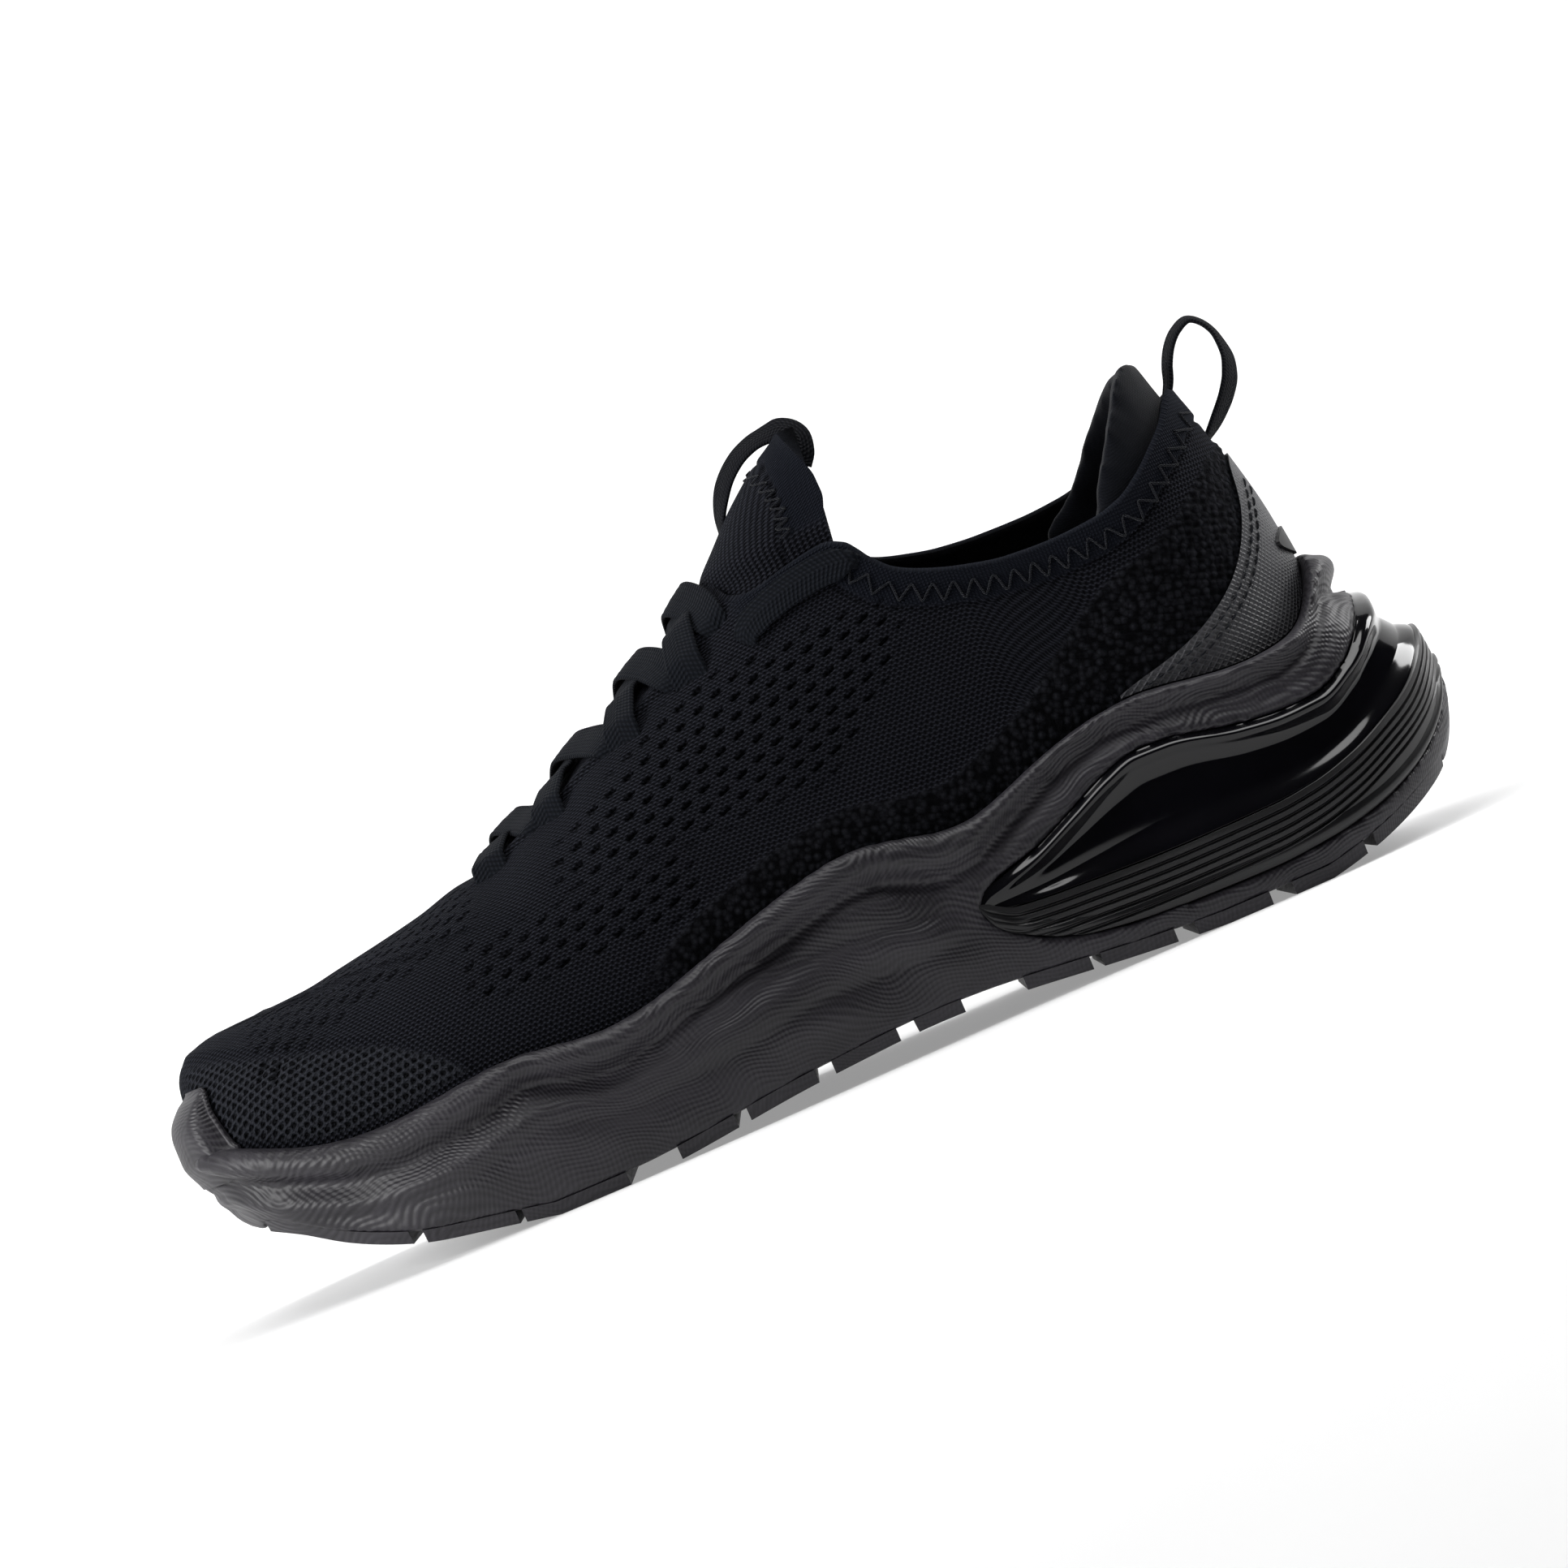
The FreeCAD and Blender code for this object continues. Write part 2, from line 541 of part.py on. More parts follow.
PUFF = KNIT + GAP + size("PuffWall")
puff_outline = side_face(footbed_line(CAVITY_LIFT, -158, -124), [(-129, 90), (-158, 90)])
subpart(layer("puff", KNIT + GAP, PUFF, prism("puff_region", puff_outline)), "toe_puff")

COUNTER = KNIT + GAP + size("CounterWall")
counter_outline = side_face(footbed_line(CAVITY_LIFT, 70, 158), [(158, 76), (98, 76)], [(98, 76), (84, 64)])
subpart(layer("counter", KNIT + GAP, COUNTER, prism("counter_region", counter_outline)), "heel_counter")

LINING = COUNTER + GAP + size("LiningWall")
lining_outline = side_face(footbed_line(CAVITY_LIFT, 72, 158), [(158, 77), (98, 77)], [(98, 77), (86, 65)])
subpart(layer("lining", COUNTER + GAP, LINING, prism("lining_region", lining_outline)), "heel_lining")

pillow_foot = list(reversed(PILLOW_FOOT))
pillow_outer = side_face(PILLOW_OUTER_TOP, [PILLOW_OUTER_TOP[-1], (130, 117)], pillow_foot)
pillow_inner = side_face(PILLOW_INNER_TOP, [PILLOW_INNER_TOP[-1], (130, 117)], pillow_foot)
pillow_region = both_sides("pillow_region", pillow_outer, pillow_inner)
subpart(layer("pillow", KNIT + GAP, KNIT + GAP + size("PillowWall"), pillow_region), "collar_pillow")

# ---------------------------------------------------------------- heel overlay and badge
OVERLAY = size("OverlayWall")
overlay_foot = [(80, 52.7)] + raised([p for p in RIM if p[0] > 83], 0.3) + [(140, 66.5)]
overlay_outline = side_face(OVERLAY_EDGE, [(135, 93), (140, 93)], list(reversed(overlay_foot)))
subpart(layer("overlay", -OVERLAY - GAP, -GAP, prism("overlay_region", overlay_outline)), "heel_overlay")

badge_body = doc.addObject("PartDesign::Body", "badge_blank")
badge_plane = [f for f in badge_body.Origin.OriginFeatures if f.Role == "YZ_Plane"][0]
badge_sketch = badge_body.newObject("Sketcher::SketchObject", "badge_sketch")
badge_sketch.AttachmentSupport = (badge_plane, [""])
badge_sketch.MapMode = "FlatFace"
half_long, half_high, level = size("BadgeLength") / 2, size("BadgeHeight") / 2, size("BadgeLevel")
oval = Part.Ellipse(V(half_long, level, 0), V(0, level + half_high, 0), V(0, level, 0))
badge_sketch.addGeometry(oval, False)
badge_sketch.exposeInternalGeometry(0)
LONG_AXIS, SHORT_AXIS, CENTRE = 1, 2, 3
badge_sketch.addConstraint(Sketcher.Constraint("Horizontal", LONG_AXIS))
badge_sketch.addConstraint(Sketcher.Constraint("PointOnObject", 0, CENTRE, -2))
badge_sizes = [("Distance", (LONG_AXIS,), "BadgeLength"), ("Distance", (SHORT_AXIS,), "BadgeHeight"),
               ("DistanceY", (-1, 1, 0, CENTRE), "BadgeLevel")]
for kind, where, name in badge_sizes:
    index = badge_sketch.addConstraint(Sketcher.Constraint(kind, *where, size(name)))
    badge_sketch.setExpression(f"Constraints[{index}]", f"Dimensions.{name}")
doc.recompute()
badge_pad = badge_body.newObject("PartDesign::Pad", "badge_pad")
badge_pad.Profile = badge_sketch
badge_pad.Length = 200
doc.recompute()
BADGE_SEAT = OVERLAY + 2 * GAP
subpart(layer("badge", -BADGE_SEAT - size("BadgeWall"), -BADGE_SEAT, badge_body), "heel_badge")

# ---------------------------------------------------------------- tongue
tongue_outline = side_face(TONGUE_FOOT, TONGUE_BACK, [TONGUE_BACK[-1], (9.4, 145)],
                           [(9.4, 145), TONGUE_FOOT[0]])
subpart(layer("tongue", 0, size("TongueWall"), prism("tongue_region", tongue_outline)), "tongue")


# ---------------------------------------------------------------- tape loops
def tape(name, path, label):
    """A flat tape standing on a side-view path, as wide across the shoe as the sheet says."""
    half = size("LoopThickness") / 2
    left, right = [], []
    for i, (x, z) in enumerate(path):
        before, after = path[max(i - 1, 0)], path[min(i + 1, len(path) - 1)]
        run, rise = after[0] - before[0], after[1] - before[1]
        length = math.hypot(run, rise)
        left.append((x - rise / length * half, z + run / length * half))
        right.append((x + rise / length * half, z - run / length * half))
    base = feature(name + "_face", side_face(left, list(reversed(right))))
    made = doc.addObject("Part::Extrusion", name)
    made.Base = base
    made.DirMode = "Custom"
    made.Dir = V(0, 1, 0)
    made.Solid = True
    made.Symmetric = True
    made.setExpression("LengthFwd", "Dimensions.LoopTape")
    return subpart(made, label)


HEEL_LOOP = [(120.4, 112.8), (121.6, 116.2), (123.6, 119.8), (126.3, 122.5), (129.4, 123.8), (132.3, 121.9),
             (134.2, 118), (134.7, 113.4), (133.6, 109), (131.2, 105.2), (128.6, 102.4), (126.6, 100.6)]
TONGUE_LOOP = [(17.6, 125.6), (20, 129.8), (23.4, 133.4), (27.4, 135.9), (31.5, 137.1), (36, 137.4),
               (38.7, 136), (39.8, 133.8), (39.4, 131.4)]
tape("heel_tape", HEEL_LOOP, "heel_loop")
tape("tongue_tape", TONGUE_LOOP, "tongue_loop")

# ---------------------------------------------------------------- lacing
LACE = size("LaceThickness")
SLOT_HALF = 17.0  # lace slots to the middle of the throat, seen from above


def strip(name, start, stop):
    """A lace pass seen from above, as a tall block between two slots."""
    run, across = stop[0] - start[0], stop[1] - start[1]
    length = math.hypot(run, across)
    dx, dy = -across / length * size("LaceWidth") / 2, run / length * size("LaceWidth") / 2
    corners = [V(start[0] + dx, start[1] + dy, 60), V(stop[0] + dx, stop[1] + dy, 60),
               V(stop[0] - dx, stop[1] - dy, 60), V(start[0] - dx, start[1] - dy, 60)]
    base = feature(name + "_face", Part.Face(Part.makePolygon(corners + corners[:1])))
    made = doc.addObject("Part::Extrusion", name)
    made.Base = base
    made.DirMode = "Custom"
    made.Dir = V(0, 0, 1)
    made.LengthFwd = 80
    made.Solid = True
    return made


def passes(side, seat, label):
    """All lace passes that start on one side of the throat, lying seat above the last."""
    strips = []
    for index, (here, after) in enumerate(zip(LACE_STATIONS, LACE_STATIONS[1:])):
        middle = smooth(LAST_MIDDLE, here)
        start, stop = (here, middle + side * SLOT_HALF), (after - 4, middle - side * SLOT_HALF)
        name = f"{label}_{index}"
        strips.append(layer(name, -seat - LACE, -seat, strip(name, start, stop)))
    made = doc.addObject("Part::Compound", label + "_passes")
    made.Links = strips
    return subpart(made, label)


passes(-1, GAP, "lace_under")
passes(1, LACE + 2 * GAP, "lace_over")

BAND_UPPER = [(15, 103.6), (25, 105.7), (34, 106.8), (38.2, 105.2)]
BAND_LOWER = [(15, 97), (25, 98.6), (34, 99.8), (40.5, 101.4)]
for side, word in ((-1, "outer"), (1, "inner")):
    band_outline = side_face(BAND_UPPER, [BAND_UPPER[-1], BAND_LOWER[-1]], list(reversed(BAND_LOWER)))
    band_region = prism(f"band_region_{word}", band_outline, side)
    subpart(layer(f"band_{word}", -LACE - GAP, -GAP, band_region), f"lace_band_{word}")

# ---------------------------------------------------------------- checks and export
doc.recompute()
failed = [obj.Label for obj in doc.Objects if "Invalid" in obj.State or "Error" in obj.State]
if failed:
    raise RuntimeError(f"these objects failed: {failed}")
os.makedirs("parts", exist_ok=True)
for obj in subparts:
    shape = obj.Shape
    if shape.isNull() or not shape.isValid() or not shape.Solids:
        raise RuntimeError(f"{obj.Label} is not a sound solid")
    print(f"{obj.Label:22s} {len(shape.Solids)} {shape.Volume / 1000:9.2f} cm3")
    shape.exportStep(f"parts/{obj.Label}.step")
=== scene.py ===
"""Looks of the running shoe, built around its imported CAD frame. Metres, X toe (-) to heel (+), Z up."""

import math

import bmesh
import bpy
import numpy as np
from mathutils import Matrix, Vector


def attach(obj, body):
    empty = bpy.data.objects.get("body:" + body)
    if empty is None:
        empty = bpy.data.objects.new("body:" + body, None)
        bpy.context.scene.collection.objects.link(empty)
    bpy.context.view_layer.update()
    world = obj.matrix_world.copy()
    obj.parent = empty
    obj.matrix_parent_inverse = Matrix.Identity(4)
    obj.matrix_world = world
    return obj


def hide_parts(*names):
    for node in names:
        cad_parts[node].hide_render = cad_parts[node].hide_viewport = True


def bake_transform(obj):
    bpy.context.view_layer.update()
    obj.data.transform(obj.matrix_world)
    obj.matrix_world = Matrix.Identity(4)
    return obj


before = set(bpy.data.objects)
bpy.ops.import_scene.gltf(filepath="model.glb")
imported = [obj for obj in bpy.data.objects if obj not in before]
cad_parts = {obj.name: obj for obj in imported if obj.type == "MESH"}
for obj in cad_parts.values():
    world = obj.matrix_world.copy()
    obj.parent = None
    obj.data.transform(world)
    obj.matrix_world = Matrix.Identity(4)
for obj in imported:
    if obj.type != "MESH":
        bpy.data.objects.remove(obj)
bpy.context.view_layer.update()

MM = 0.001

# ---- the shoe's curves, as in the CAD source
CREST = [(-125, 64.0), (-110, 64.7), (-100, 66.2), (-80, 69.7), (-70, 72.2), (-60, 75.0), (-50, 79.0),
         (-40, 84.0), (-20, 95.3), (0, 107.0), (10, 114.8), (20, 124.2), (34, 135.2), (60, 158), (131, 166)]
LAST_MIDDLE = [(-145, 8), (-120, 6.5), (-100, 4.5), (-80, 2.5), (-60, 1), (-40, 0), (-15, -1), (10, -2),
               (35, -2), (60, -1.5), (85, -0.5), (110, 0), (131, 0)]
LAST_OUTER = [(-145, 40), (-120, 42), (-105, 43.5), (-80, 48), (-60, 49.5), (-40, 49), (-15, 45.5),
              (10, 41.5), (35, 38.5), (60, 36.5), (85, 36), (131, 35)]
LAST_INNER = [(-145, 36), (-120, 38), (-105, 40.5), (-80, 47.5), (-60, 48), (-40, 45), (-15, 39.5),
              (10, 35.5), (35, 34), (60, 34), (85, 34.5), (131, 35)]
WIDEST_LEVEL = [(-145, 40), (-100, 37), (-60, 36), (0, 42), (60, 48), (131, 50)]
CREST_POWER = [(-145, 2.6), (-80, 2.3), (-40, 2.06), (0, 1.92), (40, 2.0), (131, 2.0)]
HEEL_BACK = [(-10, 131.0), (30, 131.4), (50, 130.4), (66, 129.2), (80, 127.4), (90, 125.3), (97, 123.6),
             (103, 122.1), (110, 120.0), (120, 117.5), (140, 115), (160, 114)]
TOE_TIP, TOE_CENTRE, TOE_LEVEL = -144.6, -125.0, 50.0
TOE_BEND, TOE_PLAN_POWER, TOE_SIDE_POWER = -95.0, 2.2, 2.8
HEEL_BEND, HEEL_POWER = 85.0, 2.3
SOLE_OUTER = [(-150, 52), (-100, 52), (-75, 54.3), (-50, 54.5), (-30, 53.3), (-5, 48.5), (20, 45), (45, 44),
              (70, 44.5), (95, 46), (120, 46), (150, 45)]
SOLE_INNER = [(-150, 40), (-122, 42.5), (-100, 46.5), (-75, 51.7), (-55, 52), (-30, 46.5), (-5, 40.5),
              (20, 38), (45, 39), (70, 41), (95, 43), (120, 44), (150, 44)]
SOLE_FRONT = [(-8, -134), (10, -137), (20, -142), (28, -146), (33, -148), (40, -149.5), (48, -149.3),
              (54, -147.5), (72, -146)]
SOLE_BACK = [(-8, 132), (0, 136), (8, 141), (14, 145), (20, 147.6), (28, 149.6), (34, 149.8), (40, 149.3),
             (44, 147.8), (47, 145.8), (51, 141.6), (54, 138.8), (60, 136), (64, 132.6), (72, 131.6)]
SOLE_TOE_BEND, SOLE_HEEL_BEND = -85.0, 95.0
GROUND = [(-152, 34.5), (-147.6, 31.2), (-144.5, 27.5), (-140, 22.7), (-135, 20), (-127, 16.6),
          (-120, 12.6), (-110, 8.2), (-100, 5), (-90, 3.2), (-80, 1.5), (-72, 0), (-57, 0), (-45, 0.6),
          (-30, 2.1), (-15, 3.6), (0, 4.5), (15, 5.1), (30, 4.6), (45, 3.2), (60, 1.6), (72, 0.6), (82, 0),
          (106, 0), (115, 1.8), (125, 4.6), (135, 8.6), (140, 11.4), (144.5, 16), (148, 23), (149.7, 30),
          (152, 38)]
RIM = [(-140.5, 41.2), (-130, 38), (-120, 34.5), (-110, 32.3), (-98, 31.8), (-84, 33.3), (-70, 34.5),
       (-60, 33.6), (-50, 32.3), (-40, 33.2), (-20, 38.7), (0, 44.2), (15, 46), (30, 43), (37, 42),
       (48, 44.4), (60, 48.6), (75, 52), (84, 52.4), (100, 50.2), (115, 50.2), (121, 52), (125, 55.5),
       (128, 60), (130.5, 66.2)]
AIR_ROOF = [(34.5, 24), (37.2, 26.8), (50, 31), (60, 35.3), (70, 39.7), (77, 41.7), (84, 41.5), (100, 38.2),
            (110, 37.2), (118, 37.5), (127, 41.5), (133, 47.5), (138.4, 55.6), (147, 66.2)]
AIR_FLOOR = [(34.5, 24), (35.6, 20.4), (43, 14), (55, 9.6), (75, 7.6), (95, 7.3), (110, 8.4), (120, 10.2),
             (130, 13.4), (138, 17.8), (144, 23.4), (149, 32), (152, 42.5)]
BAND_TOP = [(34.5, 24), (42, 21.3), (55, 20.2), (80, 19.3), (100, 19.6), (110, 20.6), (120, 23), (130, 27),
            (138, 31.2), (144, 36.4), (149, 44.5), (152, 54)]
THROAT = [(7.4, 150), (7.8, 113.5), (8.6, 109), (10.8, 106), (15, 104.8)]
COLLAR_OUTER = THROAT + [(25, 106.8), (34, 108), (38.5, 106.3), (42, 101.5), (46, 97.3), (52, 94.3),
                         (60, 91.7), (70, 89.7), (80, 89.2), (90, 89.8), (97, 91.5), (103, 95), (108, 99),
                         (113, 103.5), (118, 109.3), (124, 111.5), (140, 112)]
COLLAR_INNER = THROAT + [(25, 107.4), (34, 109.5), (38.5, 108.6), (42, 105), (46, 102.8), (52, 101),
                         (60, 99.3), (70, 98.4), (80, 98.2), (90, 98.8), (100, 101), (110, 105.2),
                         (118, 109.3), (124, 111.5), (140, 112)]
LIP = [(-146, 37), (-140, 34), (-130, 29.5), (-120, 26), (-110, 23.5), (-100, 22.8), (-85, 24), (-75, 26.5),
       (-68, 28), (-60, 26), (-50, 24), (-40, 26), (-30, 28.5), (-20, 31), (-10, 33.5), (0, 36), (10, 37.5),
       (15, 37.5), (22, 35.5), (30, 33), (37, 33.3), (42, 36), (50, 40), (58, 43.4), (65, 46), (75, 48),
       (85, 48), (100, 46), (112, 45.6), (119, 47), (124, 50.5), (130, 57)]
HEEL_RIDGE = [(40, 31), (50, 37), (60, 41), (70, 44.6), (80, 45.8), (90, 44.6), (100, 42), (110, 41.2),
              (118, 42), (124, 45.5), (130, 51), (135, 57)]


def smooth(stations, at):
    """Monotone cubic values along (place, value) stations, for an array of places."""
    place, value = np.array(stations, float).T
    at = np.clip(np.asarray(at, float), place[0], place[-1])
    secant = np.diff(value) / np.diff(place)
    before, after = secant[:-1], secant[1:]
    product, total = before * after, before + after
    inner = np.where(product > 0, 2 * product / np.where(total == 0, 1, total), 0.0)
    slope = np.concatenate([secant[:1], inner, secant[-1:]])
    i = np.clip(np.searchsorted(place, at, side="right") - 1, 0, len(place) - 2)
    span = place[i + 1] - place[i]
    t = (at - place[i]) / span
    rise = (1 + 2 * t) * (1 - t) ** 2 * value[i] + t * t * (3 - 2 * t) * value[i + 1]
    return rise + span * (t * (1 - t) ** 2 * slope[i] - t * t * (1 - t) * slope[i + 1])


def rounding(ratio, power):
    """Superellipse fall-off from 1 at ratio 0 to 0 at ratio 1."""
    return (1 - np.clip(ratio, 0, 1) ** power) ** (1 / power)


def ease(t):
    """Smooth step from 0 to 1."""
    t = np.clip(t, 0, 1)
    return t * t * (3 - 2 * t)


# ---- the last and the sole, in millimetres
def side_at(theta):
    """-1 on the outer side, +1 on the inner side."""
    return np.where(np.sin(theta) >= 0, -1, 1)


def by_side(side, x, outer, inner):
    """The outer or the inner curve's value at x."""
    return np.where(side < 0, smooth(outer, x), smooth(inner, x))


def off_middle(x, out, z):
    """Points at a distance from the last's middle line."""
    return np.stack([x, smooth(LAST_MIDDLE, x) + out, z], -1)


def plan_ends(x, front, toe_bend, back, heel_bend):
    """Fall-off of a width towards the toe's and the heel's end."""
    toe = rounding((toe_bend - x) / (toe_bend - front), TOE_PLAN_POWER)
    return toe * rounding((x - heel_bend) / (back - heel_bend), HEEL_POWER)


def crest(x, inset=0.0):
    """Height of the last's ridge at x."""
    nose = rounding((TOE_CENTRE - x) / (TOE_CENTRE - TOE_TIP - inset), TOE_SIDE_POWER)
    toe = TOE_LEVEL + (CREST[0][1] - inset - TOE_LEVEL) * nose
    lean = smooth(CREST, x + 1) - smooth(CREST, x - 1)
    return np.where(x < TOE_CENTRE, toe, smooth(CREST, x) - inset * np.sqrt(1 + lean * lean / 4))


def last_half(x, z, side, inset=0.0):
    """Distance from the last's middle line to its wall."""
    width = by_side(side, x, LAST_OUTER, LAST_INNER) - inset
    level = smooth(WIDEST_LEVEL, x)
    above = rounding((z - level) / np.maximum(crest(x, inset) - level, 1e-6), smooth(CREST_POWER, x))
    below = np.maximum(0.8, 1 - 0.1 * ((level - z) / 20) ** 2)
    ends = plan_ends(x, TOE_TIP + inset, TOE_BEND, smooth(HEEL_BACK, z) - inset, HEEL_BEND)
    return width * np.where(z > level, above, below) * ends


def last_top(x, y):
    """Height of the instep at a place seen from above."""
    across = y - smooth(LAST_MIDDLE, x)
    width = by_side(across, x, LAST_OUTER, LAST_INNER)
    level = smooth(WIDEST_LEVEL, x)
    return level + (crest(x) - level) * rounding(np.abs(across) / width, smooth(CREST_POWER, x))


FAN_PLACES = (-141.5, -136, -122, -100, -75, -50, -28, -8, 8, 22, 35, 48)
FAN_FRONT = [(TOE_TIP - 4, z) for z in (-10, 12, 30, 42, 50)]
FAN_FRONT += [(x, float(crest(np.array(x))) + 6) for x in FAN_PLACES]
FAN_BACK = [-10, 12, 30, 42, 50, 56, 61, 66, 73, 81, 89, 96, 103, 110, 120, 131, 143]
HUB, FAN_END = 90.0, 140.0


def fan(s, inset):
    """Side-view ends of the last's fanned rings; s counts rings from 0 at the ground."""
    index = np.arange(len(FAN_BACK))
    front = [smooth(list(zip(index, column)), s) for column in zip(*FAN_FRONT)]
    level = smooth(list(zip(index, FAN_BACK)), s)
    hub_z = front[1] + (level - front[1]) * (HUB - front[0]) / (FAN_END - front[0])

    def reach(end_x, end_z):
        near, far = np.zeros_like(s), np.ones_like(s)
        for _ in range(40):
            middle = (near + far) / 2
            x, z = HUB + (end_x - HUB) * middle, hub_z + (end_z - hub_z) * middle
            ends = (x > TOE_TIP + inset) & (x < smooth(HEEL_BACK, z) - inset)
            inside = ends & ((z < TOE_LEVEL) | (z < crest(x, inset)))
            near, far = np.where(inside, middle, near), np.where(inside, far, middle)
        return HUB + (end_x - HUB) * near, hub_z + (end_z - hub_z) * near

    return reach(*front), reach(np.full_like(s, FAN_END), level)


def last_points(s, theta, inset=0.0):
    """Points of the last on ring s at angle theta: 0 at the toe, growing over the outer side to the heel."""
    (fx, fz), (bx, bz) = fan(s, inset)
    along = (1 - np.cos(theta)) / 2
    x, z = fx + (bx - fx) * along, fz + (bz - fz) * along
    side = side_at(theta)
    return off_middle(x, side * last_half(x, z, side, inset), z)


def sole_points(z, theta, inset=0.0):
    """Points of the sole's outer wall at level z and angle theta."""
    front, back = smooth(SOLE_FRONT, z) + inset, smooth(SOLE_BACK, z) - inset
    x = front + (back - front) * (1 - np.cos(theta)) / 2
    side = side_at(theta)
    ground, rim = smooth(GROUND, x), smooth(RIM, x)
    share = np.clip((z - ground) / (rim - ground), 0, 1)
    flare = np.clip((x - 30) / 60, 0, 1)
    draw_in = 3.2 * (1 - np.minimum(1, share / 0.3)) ** 2
    draw_in = draw_in + (1.6 + 4.4 * flare) * np.maximum(0, share - 0.35) ** 1.5 / 0.52
    width = by_side(side, x, SOLE_OUTER, SOLE_INNER) - draw_in - inset
    return off_middle(x, side * width * plan_ends(x, front, SOLE_TOE_BEND, back, SOLE_HEEL_BEND), z)


def crossing(gap, low, high):
    """Where a rising function of an array crosses zero between two bounds."""
    low, high = np.array(low, float), np.array(high, float)
    for _ in range(36):
        middle = (low + high) / 2
        above = gap(middle) > 0
        high, low = np.where(above, middle, high), np.where(above, low, middle)
    return (low + high) / 2


# ---- meshes
def linked(name, data):
    """A new object in the scene."""
    obj = bpy.data.objects.new(name, data)
    bpy.context.scene.collection.objects.link(obj)
    return obj


def unit(v):
    """Vectors of length 1."""
    return v / np.maximum(np.linalg.norm(v, axis=-1, keepdims=True), 1e-9)


def mesh_object(name, points, faces, attributes=None):
    """A smooth-shaded object from points in millimetres."""
    mesh = bpy.data.meshes.new(name)
    mesh.from_pydata((np.asarray(points) * MM).tolist(), [], faces)
    for key, values in (attributes or {}).items():
        kind, field = ("FLOAT_VECTOR", "vector") if np.ndim(values) == 2 else ("FLOAT", "value")
        made = mesh.attributes.new(key, kind, "POINT")
        made.data.foreach_set(field, np.asarray(values, np.float32).ravel())
    mesh.update()
    mesh.shade_smooth()
    fix = bmesh.new()
    fix.from_mesh(mesh)
    bmesh.ops.remove_doubles(fix, verts=fix.verts, dist=2e-6)
    bmesh.ops.recalc_face_normals(fix, faces=fix.faces)
    fix.to_mesh(mesh)
    fix.free()
    return linked(name, mesh)


def grid_faces(rows, columns, wrap_columns=False, wrap_rows=False):
    """Quads of a grid of points, row by row."""
    r = np.arange(rows if wrap_rows else rows - 1)[:, None]
    c = np.arange(columns if wrap_columns else columns - 1)[None, :]
    below, right = (r + 1) % rows, (c + 1) % columns
    quads = np.stack([r * columns + c, r * columns + right, below * columns + right, below * columns + c], -1)
    return quads.reshape(-1, 4).tolist()


def grid_normals(grid, wrap_columns=False):
    """Unit normals of a grid of points."""
    across = np.roll(grid, -1, 1) - np.roll(grid, 1, 1) if wrap_columns else np.gradient(grid, axis=1)
    return unit(np.cross(across, np.gradient(grid, axis=0)))


def lengths(grid, axis, centre=0):
    """Arc length along an axis of a grid, zero at one index."""
    step = np.linalg.norm(np.diff(grid, axis=axis), axis=-1)
    total = np.insert(np.cumsum(step, axis=axis), 0, 0, axis=axis)
    return total - np.take(total, [centre], axis=axis)


def shell(name, outer, inner, attributes, wrap=False):
    """A closed shell between an outer and an inner grid with equal columns."""
    rows = np.concatenate([outer, inner[::-1]], 0)
    total, columns = rows.shape[:2]
    faces = grid_faces(total, columns, wrap_columns=wrap, wrap_rows=True)
    if not wrap:
        faces += [[r * columns + column for r in range(total)] for column in (0, columns - 1)]
    extra = {"inside": np.concatenate([np.zeros(outer.shape[:2]), np.ones(inner.shape[:2])], 0).ravel()}
    for key, values in attributes.items():
        pad = np.zeros(inner.shape[:2] + values.shape[2:])
        extra[key] = np.concatenate([values, pad], 0).reshape((-1,) + values.shape[2:])
    return mesh_object(name, rows.reshape(-1, 3), faces, extra)


def strip_faces(count, sides):
    """Faces of a tube of rings, closed at both ends."""
    ends = [list(range(sides)), list(range((count - 1) * sides, count * sides))]
    return grid_faces(count, sides, wrap_columns=True) + ends


def tube(points, radius, sides=6):
    """Points and faces of a round thread."""
    along = unit(np.gradient(points, axis=0))
    helper = np.where(np.abs(along[:, 2:3]) > 0.9, [[1.0, 0, 0]], [[0, 0, 1.0]])
    first = unit(np.cross(along, helper))
    second = np.cross(along, first)
    turn = np.linspace(0, 2 * np.pi, sides, endpoint=False)
    size = np.full(len(points), radius)
    size[[0, -1]] *= 0.45
    ring = np.cos(turn)[None, :, None] * first[:, None] + np.sin(turn)[None, :, None] * second[:, None]
    rings = points[:, None] + size[:, None, None] * ring
    return rings.reshape(-1, 3), strip_faces(len(points), sides)


def ribbon(centre, across, up, width, thick, ribs):
    """Points, faces and weave of a closed flat strip; across and up are unit vectors at each centre point."""
    turn = np.linspace(0, 2 * np.pi, 40, endpoint=False)
    width = np.broadcast_to(width, len(centre))[:, None]
    flat = np.sign(np.cos(turn)) * np.abs(np.cos(turn)) ** 0.55 * width / 2
    high = np.sign(np.sin(turn)) * np.abs(np.sin(turn)) ** 0.5 * thick / 2
    high = high * (1 + 0.16 * np.cos(2 * np.pi * flat / ribs))
    ring = centre[:, None] + across[:, None] * flat[..., None] + up[:, None] * high[..., None]
    run = lengths(centre, 0)[:, None]
    weave = np.stack([run + flat * 0, flat, flat * 0], -1)
    return ring.reshape(-1, 3), strip_faces(len(centre), len(turn)), weave.reshape(-1, 3)


def joined(name, strips):
    """One object of many strips: each is its points, its faces and, on a tape, its weave."""
    faces, start = [], 0
    for points, quads, *_ in strips:
        faces += [[i + start for i in quad] for quad in quads]
        start += len(points)
    columns = [np.concatenate(column) for column in list(zip(*strips))[::2]]
    return mesh_object(name, columns[0], faces, {"weave": columns[1]} if len(columns) > 1 else None)


